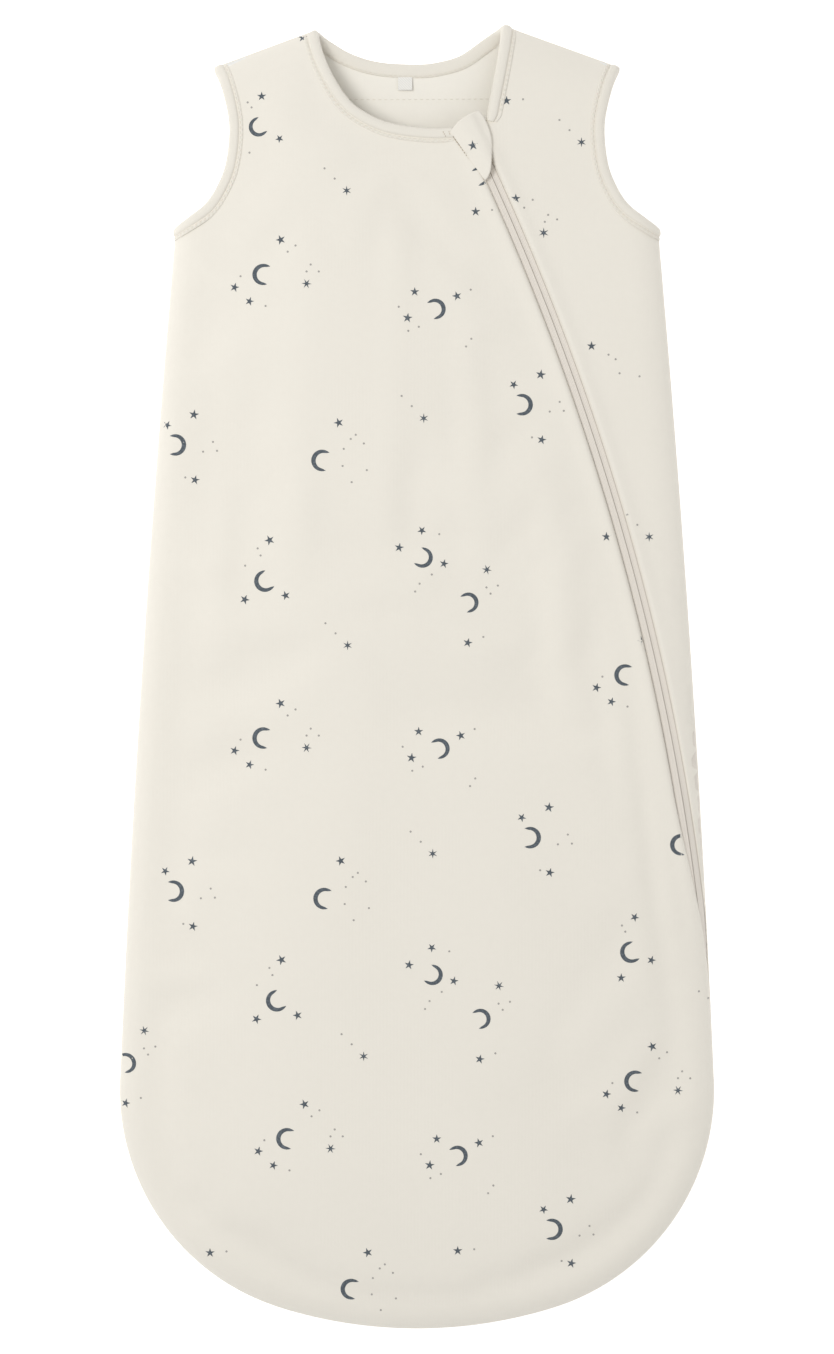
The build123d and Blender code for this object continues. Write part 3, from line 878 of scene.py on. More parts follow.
class Bag:
    """The form, the zip's run and the surface that every piece is laid on."""

    def __init__(self, form: BagForm, zip_run: ZipRun) -> None:
        """Keep the form and work out its outline."""
        self.form = form
        self.zip = zip_run
        self.edge = form.outline()

    def surface(self, places: np.ndarray, face: Face, depth: float = 0.0) -> np.ndarray:
        """Lay flat places on a face of the bag.

        Args:
            places: Flat places, one row each.
            face: The face.
            depth: How deep under the face, measured straight down or up.

        Returns:
            The places in space.
        """
        form = self.form
        reach = reach_to(places, self.edge, True)
        reach = np.where(is_inside(places, self.edge), reach, 0.0)
        if face is Face.FRONT:
            crown = form.crown(places, self.zip) + sum(fold.height(places) for fold in SOFT_FOLDS)
            share = np.clip(1 - reach / form.roll, 0, 1)
            height = form.seam + (crown - form.seam) * np.sqrt(1 - share**2)
        else:
            share = np.clip(1 - reach / form.back_roll, 0, 1)
            height = form.seam * (1 - np.sqrt(1 - share**2))
        return np.column_stack([places, height - face.value * depth])

    def normals(self, places: np.ndarray, face: Face) -> np.ndarray:
        """The outward direction of a face at flat places."""
        small = 0.35
        tilts = []
        for axis in np.eye(2):
            rise = self.surface(places + small * axis, face)[:, 2] - self.surface(places - small * axis, face)[:, 2]
            tilts.append(rise / (2 * small))
        out = np.column_stack([-tilts[0], -tilts[1], np.ones(len(places))])
        return unit(out * face.value)

    def rolled_corners(self, loop: np.ndarray, face: Face) -> np.ndarray:
        """Places for mesh corners over the rolled edge, inside a panel's loop."""
        width = self.form.roll if face is Face.FRONT else self.form.back_roll
        rings = [beside(self.edge, amount) for amount in width * np.array([0.03, 0.12, 0.28, 0.5, 0.75, 1.0])]
        places = np.vstack(rings)
        depth = np.repeat(width * np.array([0.03, 0.12, 0.28, 0.5, 0.75, 1.0]), len(self.edge))
        keep = is_inside(places, loop) & is_inside(places, self.edge)
        keep &= reach_to(places, self.edge, True) > 0.9 * depth
        keep &= reach_to(places, loop, True) > 0.75 * np.minimum(depth, 2.4)
        return places[keep]


# ---------------------------------------------------------------------------------------- panels


@dataclass(frozen=True)
class NeckAndArms:
    """The openings' edges, as places that a soft curve passes through."""

    front_neck: tuple[Spot, ...] = (
        (-54.4, 347.6), (-52.4, 339.0), (-49.2, 329.4), (-43.4, 317.5), (-35.0, 306.0),
        (-23.0, 298.3), (-11.0, 294.4), (8.0, 292.4), (18.8, 292.9),
    )
    zip_neck: tuple[Spot, ...] = ((46.3, 350.0), (45.4, 341.7), (42.6, 324.8), (39.4, 308.5), (37.4, 297.0))
    back_neck: tuple[Spot, ...] = (
        (46.3, 350.0), (40.6, 346.0), (34.1, 341.0), (23.4, 333.6), (12.7, 330.4),
        (2.0, 329.0), (-19.4, 330.0), (-35.5, 334.6), (-46.2, 341.0), (-54.4, 347.6),
    )
    armhole: tuple[Spot, ...] = (
        (129.5, 240.8), (121.5, 246.0), (114.6, 250.8), (110.8, 254.9), (107.0, 261.0), (102.3, 272.0),
        (100.0, 287.0), (100.4, 300.0), (104.6, 317.0), (109.0, 327.4),
    )


@dataclass
class Layers:
    """Thicknesses of the cloth, in millimetres."""

    outer: float = 0.8
    wadding: float = 2.4
    lining: float = 0.6

    @property
    def total(self) -> float:
        """Thickness of the three together."""
        return self.outer + self.wadding + self.lining


def flat_size(loop: np.ndarray) -> Spot:
    """Width and length in metres of the smallest oblong that a flat loop is cut from."""
    best = None
    for turn in np.radians(np.arange(0, 45, 1.0)):
        spin = np.array([(math.cos(turn), -math.sin(turn)), (math.sin(turn), math.cos(turn))])
        turned = loop @ spin
        size = (turned.max(0) - turned.min(0)) * MM
        if best is None or size[0] * size[1] < best[0] * best[1]:
            best = size
    return float(min(best)), float(max(best))


@dataclass
class ClothPanel:
    """One panel of the bag, in its three layers.

    Attributes:
        name: Start of the names of its pieces.
        bag: The bag that it is part of.
        face: The face that it is on.
        loop: Its flat outline, anticlockwise.
        turned: Its free edge beside the zip, which is turned under, if it has one.
        nodes: The nodes that each layer stands for.
        blended: Whether its pieces go through the fold line's bend, which only bakes their place, instead of being
            attached to the bag.
        pitch: Size of its triangles.
        edge_turn: Radius of the turned edge beside the zip.
        edge_swell: Height of the ridge along that edge.
        wadding_back: How far the wadding stops short of that edge.
        lining_back: How far the lining does.
    """

    name: str
    bag: Bag
    face: Face
    loop: np.ndarray
    turned: np.ndarray | None
    nodes: dict[str, tuple[str, ...]]
    blended: bool = False
    pitch: float = 4.2
    edge_turn: float = 1.5
    edge_swell: float = 1.4
    wadding_back: float = 9.7
    lining_back: float = 1.3

    def lay(self) -> Sheet:
        """Cut the panel and lay it on the bag's form."""
        extra = [self.bag.rolled_corners(self.loop, self.face)]
        if self.turned is not None:
            for amount in (0.4, self.lining_back, 3.0, 5.5, self.wadding_back):
                for line in (beside(self.turned, amount), beside(self.turned, -amount)):
                    inside = is_inside(line, self.loop) & (reach_to(line, self.loop, True) > 0.8 * amount)
                    extra.append(line[inside])
        width = self.bag.form.roll if self.face is Face.FRONT else self.bag.form.back_roll

        def bare(places: np.ndarray) -> np.ndarray:
            """Tell which places the rolled edge's own corners cover."""
            return reach_to(places, self.bag.edge, True) < width + 0.5 * self.pitch

        flat, faces = fill_loop(self.loop, np.vstack(extra), self.pitch, bare)
        points = self.bag.surface(flat, self.face)
        if self.turned is not None:
            gap = reach_to(flat, self.turned)
            share = np.clip(1 - gap / self.edge_turn, 0, 1)
            points[:, 2] -= self.edge_turn * (1 - np.sqrt(1 - share**2))
            room = np.clip(reach_to(flat, self.bag.edge, True) / width, 0, 1)
            points[:, 2] += self.edge_swell * np.exp(-(((gap - 2.2) / 3.2) ** 2)) * room
        if self.face is Face.BACK:
            faces = faces[:, ::-1]
        self.sheet = Sheet(points, faces)
        return self.sheet

    def dress(self, finishes: Finishes, layers: Layers, bend: Callable) -> list[bpy.types.Object]:
        """Build the panel's three layers.

        Args:
            finishes: The bag's finishes.
            layers: The layers' thicknesses.
            bend: Called on each piece of a blended panel; it bakes the piece's place into its mesh.

        Returns:
            The three pieces, the outer cloth first.
        """
        depths = (0.0, layers.outer, layers.outer + layers.wadding, layers.total)
        skins = {"outer": finishes.jersey, "wadding": finishes.wadding, "lining": finishes.lining}
        size = flat_size(self.loop)
        pieces = []
        backs = {"outer": 0.0, "wadding": 0.98 * self.wadding_back, "lining": 0.98 * self.lining_back}
        for i, (layer, skin) in enumerate(skins.items()):
            cut = self.sheet if self.turned is None else self.sheet.clear_of(self.turned, backs[layer])
            corners, faces = cut.layer(depths[i], depths[i + 1])
            piece = make_piece(f"{self.name}_{layer}", corners, faces, skin, smooth=60)
            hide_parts(*self.nodes[layer])
            if self.blended:
                bend(piece)
            else:
                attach(piece, "bag")
            pieces.append(piece)
        area = min(self.sheet.area(), size[0] * size[1])
        return pieces


def side_line(bag: Bag) -> np.ndarray:
    """The wearer's-left edge of the bag from the foot's middle up to the underarm."""
    half = bag.form.half_outline()
    return half[half[:, 1] <= bag.form.underarm[1] + 1e-6]


def soft_step(share: np.ndarray) -> np.ndarray:
    """A share from 0 to 1, eased at both ends."""
    share = np.clip(share, 0, 1)
    return share * share * (3 - 2 * share)


@dataclass(frozen=True)
class ZipSlot:
    """The long opening that the zip shows in.

    Attributes:
        left_gap: From the zip's middle to the big front panel's edge.
        right_gap: From the zip's middle to the edge of the panel on the zip's own side.
        merge: Height up the bag below which the slot runs into the side seam.
        sliver: Least width of the panel on the zip's own side.
    """

    left_gap: float = 4.3
    right_gap: float = 3.4
    merge: float = -60.0
    sliver: float = 0.9

    def main_edge(self, bag: Bag, gap: float) -> np.ndarray:
        """The big panel's edge, from the neck down to the side seam."""
        middle = bag.zip.line(0, bag.zip.top, bag.zip.foot)
        side = side_line(bag)
        reach = np.interp(middle[:, 1], side[:, 1], side[:, 0]) - middle[:, 0]
        share = soft_step((self.merge - middle[:, 1]) / (self.merge - bag.zip.foot))
        offsets = -gap + (gap + reach - 0.05) * share**1.15
        edge = middle.copy()
        edge[:, 0] += offsets
        return edge

    def side_edge(self, bag: Bag, gap: float) -> np.ndarray:
        """The edge of the panel on the zip's own side, from the neck down to its tip."""
        edge = bag.zip.line(gap, bag.zip.top, bag.zip.foot + 4.0)
        side = side_line(bag)
        reach = np.interp(edge[:, 1], side[:, 1], side[:, 0])
        edge[:, 0] = np.minimum(edge[:, 0], reach - self.sliver)
        return edge


@dataclass(frozen=True)
class PanelCutter:
    """Cuts the outlines of the three panels."""

    bag: Bag
    edges: NeckAndArms = NeckAndArms()
    slot: ZipSlot = ZipSlot()
    step: float = 3.0

    def neck(self, name: str) -> np.ndarray:
        """One of the openings' edges as a soft curve."""
        return smooth_line(getattr(self.edges, name), self.step)

    def front_loop(self, gap: float) -> np.ndarray:
        """The big front panel, whose edge is this far from the zip's middle."""
        side = side_line(self.bag)
        zip_edge = self.slot.main_edge(self.bag, gap)[::-1]
        neck = self.neck("front_neck")[::-1]
        zip_edge = zip_edge[zip_edge[:, 1] < neck[0][1] - 1.0]
        neck = neck[neck[:, 0] < zip_edge[-1][0] - 0.5]
        armhole = self.neck("armhole")[::-1] * (-1, 1)
        shoulder = even_line(np.array([neck[-1], armhole[0]]), self.step)[1:-1]
        left = side[::-1][1:] * (-1, 1)
        low = side[1:][side[1:, 1] < zip_edge[0][1] - 1.0]
        return np.vstack([zip_edge, neck, shoulder, armhole, left, low])

    def zip_side_loop(self, gap: float) -> np.ndarray:
        """The panel on the zip's own side."""
        side = side_line(self.bag)
        zip_edge = self.slot.side_edge(self.bag, gap)
        neck = self.neck("zip_neck")
        zip_edge = zip_edge[zip_edge[:, 1] < neck[-1][1] - 1.5]
        neck = neck[neck[:, 0] > zip_edge[0][0] + 1.0]
        armhole = self.neck("armhole")
        shoulder = even_line(np.array([armhole[-1], neck[0]]), self.step)[1:-1]
        right = side[(side[:, 1] > zip_edge[-1][1] + 2.0)][:-1]
        return np.vstack([right, armhole, shoulder, neck, zip_edge])

    def back_loop(self) -> np.ndarray:
        """The back panel."""
        side = side_line(self.bag)
        armhole = self.neck("armhole")
        neck = self.neck("back_neck")
        right_shoulder = even_line(np.array([armhole[-1], neck[0]]), self.step)[1:-1]
        left_shoulder = even_line(np.array([neck[-1], armhole[-1] * (-1, 1)]), self.step)[1:-1]
        mirrored = np.vstack([side[:-1], armhole])[::-1] * (-1, 1)
        return np.vstack([side[:-1], armhole, right_shoulder, neck, left_shoulder, mirrored[:-1]])


class PanelSwell:
    """The front panel's small swells and slack, found by letting its cloth settle."""

    def __init__(self, panel: ClothPanel, pitch: float = 7.5, cap: float = 2.2, steps: int = 22) -> None:
        """Keep the panel and the settling's measures."""
        self.panel = panel
        self.pitch = pitch
        self.cap = cap
        self.steps = steps
        self.places = np.zeros((0, 2))
        self.moves = np.zeros((0, 3))

    def settle(self) -> None:
        """Let a coarse copy of the sheet settle over its filling, held along all of its seams."""
        bag, loop = self.panel.bag, self.panel.loop
        flat, faces = fill_loop(
            even_line(np.vstack([loop, loop[:1]]), self.pitch)[:-1], np.zeros((0, 2)), self.pitch, lambda p: p[:, 0] > 1e9
        )
        rest = bag.surface(flat, self.panel.face)
        mesh = bpy.data.meshes.new("settling")
        mesh.from_pydata((rest * MM).tolist(), [], faces.tolist())
        cloth = bpy.data.objects.new("settling", mesh)
        bpy.context.scene.collection.objects.link(cloth)
        held = cloth.vertex_groups.new(name="held")
        reach = reach_to(flat, loop, True)
        for i, gap in enumerate(reach):
            held.add([i], float(np.clip(1 - (gap - 8.0) / 14.0, 0, 1)), "REPLACE")
        only(cloth)
        modifier = cloth.modifiers.new("Cloth", "CLOTH")
        settings = modifier.settings
        settings.quality = 6
        settings.mass = 0.25
        settings.tension_stiffness = 12.0
        settings.compression_stiffness = 6.0
        settings.shear_stiffness = 4.0
        settings.bending_stiffness = 0.6
        settings.tension_damping = 8.0
        settings.compression_damping = 8.0
        settings.air_damping = 3.0
        settings.shrink_min = -0.012
        settings.use_pressure = True
        settings.uniform_pressure_force = 0.25
        settings.vertex_group_mass = "held"
        settings.pin_stiffness = 1.0
        settings.effector_weights.gravity = 0.0
        modifier.collision_settings.use_collision = False
        modifier.point_cache.frame_start = 1
        modifier.point_cache.frame_end = self.steps
        scene = bpy.context.scene
        for step in range(1, self.steps + 1):
            scene.frame_set(step)
        bpy.ops.object.modifier_apply(modifier="Cloth")
        settled = np.array([v.co for v in cloth.data.vertices]) / MM
        scene.frame_set(1)
        bpy.data.objects.remove(cloth)
        moves = settled - rest
        ease = 1 - np.clip(1 - (reach - 8.0) / 14.0, 0, 1)
        moves *= ease[:, None]
        size = np.linalg.norm(moves, axis=1)
        log.info("settled cloth moved %.2f mm at most, %.2f on average", size.max(), size.mean())
        moves *= (self.cap * np.tanh(size / self.cap) / np.maximum(size, 1e-9))[:, None]
        self.places, self.moves = flat, moves

    def move(self, sheet: Sheet) -> None:
        """Give another sheet of the same panel the same swells."""
        if not len(self.places):
            return
        tree = KDTree(len(self.places))
        for i, (x, y) in enumerate(self.places):
            tree.insert((x, y, 0), i)
        tree.balance()
        for k, (x, y, _) in enumerate(sheet.points.copy()):
            near = tree.find_n((x, y, 0), 7)
            weights = np.array([math.exp(-((gap / self.pitch) ** 2)) for _, _, gap in near])
            sheet.points[k] += weights @ self.moves[[i for _, i, _ in near]] / max(weights.sum(), 1e-9)


# ------------------------------------------------------------------------- bands, facing and label


@dataclass
class EdgeRun:
    """An edge in space, with the directions into the cloth and out of it."""

    line: np.ndarray
    into: np.ndarray
    out: np.ndarray

    @classmethod
    def over(cls, bag: Bag, parts: Sequence[tuple[np.ndarray, Face]], side: int, closed: bool) -> "EdgeRun":
        """Lay flat edges on the bag, one after another.

        Args:
            bag: The bag.
            parts: Each flat edge with the face that it is on.
            side: 1 where the cloth is on the edge's right, or -1 where it is on its left.
            closed: Whether the last edge joins the first.

        Returns:
            The edge in space.
        """
        line = np.vstack([bag.surface(flat, face) for flat, face in parts])
        out = np.vstack([bag.normals(flat, face) for flat, face in parts])
        gaps = np.linalg.norm(np.diff(line, axis=0), axis=1)
        keep = np.concatenate([[True], gaps > 0.4])
        line, out = line[keep], unit(soften(out[keep], 4, closed))
        line = soften(line, 1, closed)
        along = np.roll(line, -1, 0) - np.roll(line, 1, 0) if closed else np.gradient(line, axis=0)
        along = unit(along)
        out = unit(out - (out * along).sum(1)[:, None] * along)
        return cls(line, side * np.cross(along, out), out)

    def part(self, start: int, end: int) -> "EdgeRun":
        """A stretch of the edge."""
        return EdgeRun(self.line[start:end], self.into[start:end], self.out[start:end])


def folded_band(width: float, cloth: float, thickness: float = 0.7) -> list[Spot]:
    """The section of a band folded over an edge of cloth, closed all round.

    Args:
        width: How far the band reaches over the cloth.
        cloth: The cloth's own thickness.
        thickness: The band's thickness.

    Returns:
        Its corners, into the cloth and out of it.
    """
    roll, lip = 2.1 * thickness, 0.8 * thickness
    low = -cloth - thickness
    seam = width - 2.1
    return [
        (width, 0.05), (width - 0.2, 0.7 * lip), (width - 0.6, lip), (seam + 0.55, lip), (seam + 0.15, 0.45 * lip),
        (seam - 0.15, 0.5 * lip), (seam - 0.6, 0.75 * roll), (seam - 1.5, roll), (0.42 * seam, 1.02 * roll),
        (0.9, 0.85 * roll), (0.1, 0.45 * roll), (-0.45, -0.1 * cloth), (-0.65, -0.4 * cloth),
        (-0.6, -0.75 * cloth), (-0.2, -cloth - 0.2), (0.8, low + 0.1), (0.5 * width, low - 0.1),
        (width - 0.9, low), (width - 0.1, -cloth - 0.1), (width - 1.0, -cloth),
        (0.9, -cloth), (0.1, -0.75 * cloth), (0.1, -0.25 * cloth), (0.9, 0.0), (width - 1.0, 0.0),
    ]


@dataclass
class StitchRow:
    """A row of machine stitches.

    Attributes:
        run: The edge that the row follows.
        inset: How far the row is from the edge.
        lift: Height of the thread's middle above the edge's own surface.
        pitch: From one stitch to the next.
        length: Length of a stitch.
        radius: Half the thread's thickness.
    """

    run: EdgeRun
    inset: float
    lift: float
    pitch: float = 2.7
    length: float = 2.0
    radius: float = 0.2

    def build(self) -> tuple[np.ndarray, list[tuple[int, ...]]]:
        """Model every stitch as a short rounded length of thread."""
        line = self.run.line + self.inset * self.run.into + self.lift * self.run.out
        spans = np.concatenate([[0], np.cumsum(np.linalg.norm(np.diff(line, axis=0), axis=1))])
        corners, faces = [], []
        ring = [(math.cos(t), math.sin(t)) for t in np.linspace(0, 2 * math.pi, 5, endpoint=False)]
        for start in np.arange(0.6, spans[-1] - self.length, self.pitch):
            ends = [
                np.array([np.interp(start + share * self.length, spans, line[:, k]) for k in range(3)])
                for share in (0, 0.25, 0.75, 1)
            ]
            middle = start + self.length / 2
            out = np.array([np.interp(middle, spans, self.run.out[:, k]) for k in range(3)])
            across = np.cross(ends[3] - ends[0], out)
            across /= np.linalg.norm(across)
            base = len(corners)
            corners.append(ends[0] - 1.2 * self.radius * out)
            for end in ends[1:3]:
                corners += [end + self.radius * (c * across + s * out) for c, s in ring]
            corners.append(ends[3] - 1.2 * self.radius * out)
            last = base + 11
            for k in range(5):
                nxt = (k + 1) % 5
                faces.append((base, base + 1 + nxt, base + 1 + k))
                faces.append((base + 1 + k, base + 1 + nxt, base + 6 + nxt, base + 6 + k))
                faces.append((last, base + 6 + k, base + 6 + nxt))
        return np.array(corners), faces


def join_forms(forms: Sequence[tuple[np.ndarray, list[tuple[int, ...]]]]) -> tuple[np.ndarray, list[tuple[int, ...]]]:
    """Put several forms' corners and faces together."""
    corners, faces, base = [], [], 0
    for points, sides in forms:
        corners.append(points)
        faces += [tuple(i + base for i in side) for side in sides]
        base += len(points)
    return np.vstack(corners), faces


@dataclass
class Neckline:
    """The band round the neck, with its stitches.

    Attributes:
        bag: The bag.
        cutter: Gives the neck's edges.
        width: The band's width.
        cloth: Thickness of the cloth that it is folded over.
        rows: Distance of its two rows of stitches from its edge.
        stitch_low: Height up the bag where the rows start on the zip's own side.
    """

    bag: Bag
    cutter: PanelCutter
    width: float = 7.4
    cloth: float = 3.8
    rows: tuple[float, float] = (5.95, 6.75)
    stitch_low: float = 301.0

    def build(self, finishes: Finishes, bend: Callable) -> list[bpy.types.Object]:
        """Build the band in two stretches and its stitches, and return the pieces."""
        front = even_line(self.cutter.neck("front_neck"), 1.8)
        rise = even_line(self.cutter.neck("zip_neck")[::-1], 1.8)
        back = even_line(self.cutter.neck("back_neck"), 1.8)
        ring = [(back, Face.BACK), (front, Face.FRONT)]
        left = EdgeRun.over(self.bag, ring, 1, False)
        right = EdgeRun.over(self.bag, [(rise, Face.FRONT), (back, Face.BACK)], 1, False)
        fold = int(np.argmin(np.linalg.norm(left.line[:, :2] - front[0], axis=1)))
        turn = int(np.argmin(np.linalg.norm(right.line[:, :2] - back[len(back) // 2], axis=1)))
        middle = int(np.argmin(np.linalg.norm(left.line[:, :2] - back[len(back) // 2], axis=1)))
        front_run = left.part(fold, len(left.line))
        start, rest = right.part(0, turn), left.part(middle, fold + 1)
        back_run = EdgeRun(
            np.vstack([start.line, rest.line]), np.vstack([start.into, rest.into]), np.vstack([start.out, rest.out])
        )
        self.front_run, self.back_run = front_run, back_run
        pieces = []
        for name, run, node in (
            ("neckband_front", front_run, "lapel_neckband"),
            ("neckband_back", back_run, "neckband"),
        ):
            taper = None
            if name == "neckband_back":
                taper = 0.3 + 0.7 * soft_step((run.line[:, 1] - 291.0) / 11.0)
            section = folded_band(self.width, self.cloth)
            corners, faces, along = sweep(run.line, run.into, run.out, section, False, taper)
            band = make_piece(name, corners, faces, finishes.binding, along, 50)
            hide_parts(node)
            first = 0 if name == "neckband_front" else int(np.argmax(run.line[:, 1] > self.stitch_low))
            sewn = run.part(first, len(run.line))
            stitches = [StitchRow(sewn, inset, 0.62).build() for inset in self.rows]
            under = -self.cloth - 0.8
            stitches += [StitchRow(sewn, inset, under).build() for inset in self.rows]
            thread = make_piece(name + "_stitches", *join_forms(stitches), finishes.thread)
            pieces += [band, thread]
        for piece in pieces[:2]:
            bend(piece)
        for piece in pieces[2:]:
            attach(piece, "bag")
        return pieces


@dataclass
class ArmholeBand:
    """The binding round one armhole, a closed loop over front and back, with its stitches."""

    bag: Bag
    cutter: PanelCutter
    side: int
    width: float = 7.2
    cloth: float = 3.8
    rows: tuple[float, float] = (5.75, 6.55)

    def build(self, finishes: Finishes) -> list[bpy.types.Object]:
        """Build the band and its stitches, and return the pieces."""
        flat = even_line(self.cutter.neck("armhole"), 2.0) * (self.side, 1)
        parts = [(flat, Face.FRONT), (flat[::-1], Face.BACK)]
        run = EdgeRun.over(self.bag, parts, -self.side, True)
        word = "left" if self.side > 0 else "right"
        corners, faces, along = sweep(run.line, run.into, run.out, folded_band(self.width, self.cloth), True)
        band = make_piece(f"armhole_band_{word}", corners, faces, finishes.binding, along, 50)
        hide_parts(f"armhole_binding_{word}")
        rows = [StitchRow(run, inset, 0.62).build() for inset in self.rows]
        thread = make_piece(f"armhole_stitches_{word}", *join_forms(rows), finishes.thread)
        for piece in (band, thread):
            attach(piece, "bag")
        return [band, thread]


@dataclass
class BackNeckInside:
    """The facing inside the back neck, with its stitch line, and the size label on it."""

    bag: Bag
    cutter: PanelCutter
    lower: float = 309.0
    stitch: float = 311.0
    thickness: float = 0.25
    inside: float = 3.8
    label_middle: Spot = (-6.4, 318.8)
    label_size: Spot = (7.6, 7.2)

    def build(self, finishes: Finishes) -> list[bpy.types.Object]:
        """Build the facing, its stitches and the label, and return the pieces."""
        neck = self.cutter.neck("back_neck")
        neck = neck[(neck[:, 0] > -45.0) & (neck[:, 0] < 39.0)]
        low = even_line(np.array([(-64.0, self.lower), (57.0, self.lower)]), 3.0)
        right = even_line(np.array([(57.0, self.lower), (50.0, 336.0), tuple(neck[0])]), 3.0)[1:-1]
        left = even_line(np.array([tuple(neck[-1]), (-57.0, 334.0), (-64.0, self.lower)]), 3.0)[1:-1]
        loop = np.vstack([low, right, neck, left])
        flat, faces = fill_loop(loop, np.zeros((0, 2)), 4.0, lambda p: p[:, 0] > 1e9)
        sheet = Sheet(self.bag.surface(flat, Face.BACK, self.inside + self.thickness), faces)
        sheet.points[:, 2] -= 0.8 * self.thickness * (1 - soft_step((flat[:, 1] - self.lower) / 3.0))
        corners, sides = sheet.layer(0.0, self.thickness)
        facing = make_piece("back_neck_facing", corners, sides, finishes.lining, smooth=60)
        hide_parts("neck_facing")
        line = even_line(np.array([(-60.0, self.stitch), (-20.0, self.stitch - 0.6), (53.0, self.stitch)]), 3.0)
        laid = self.bag.surface(line, Face.BACK, self.inside + self.thickness)
        up = np.tile((0.0, 0.0, 1.0), (len(line), 1))
        run = EdgeRun(laid, np.tile((0.0, -1.0, 0.0), (len(line), 1)), up)
        thread = make_piece("facing_stitches", *StitchRow(run, 0.0, 0.02, 3.2, 2.2, 0.2).build(), finishes.thread)
        label = self.label(finishes)
        for piece in (facing, thread, label):
            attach(piece, "bag")
        return [facing, thread, label]

    def label(self, finishes: Finishes) -> bpy.types.Object:
        """Fold the size label from one strip, its ends caught under the neckband."""
        x, y = self.label_middle
        wide, tall = self.label_size
        base = self.inside + self.thickness
        upper, lower = y + tall / 2, y - tall / 2
        under = [(upper, base + 0.1), (y, base + 0.25), (lower + 0.8, base + 0.5), (lower, base + 1.0)]
        over = [(lower + 0.5, base + 1.45), (y, base + 1.15), (upper, base + 0.75)]
        path = smooth_line(under + over, 0.5)
        inner = beside(path, -0.28)
        section = np.vstack([path, inner[::-1]])
        stations = x + wide * np.array([-0.5, -0.46, -0.2, 0.2, 0.46, 0.5])
        corners = np.array([(s, a, b) for s in stations for a, b in section])
        count = len(section)
        faces = [
            (i * count + k, i * count + (k + 1) % count, (i + 1) * count + (k + 1) % count, (i + 1) * count + k)
            for i in range(len(stations) - 1)
            for k in range(count)
        ]
        half = len(path)
        for end in (0, (len(stations) - 1) * count):
            faces += [(end + k, end + k + 1, end + count - 2 - k, end + count - 1 - k) for k in range(half - 1)]
        run = np.array([(s, k * 0.5) for s in stations for k in range(count)])
        label = make_piece("size_label_loop", corners, faces, finishes.label, run, 50)
        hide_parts("size_label")
        return label


# --------------------------------------------------------------------------------- zip and flap


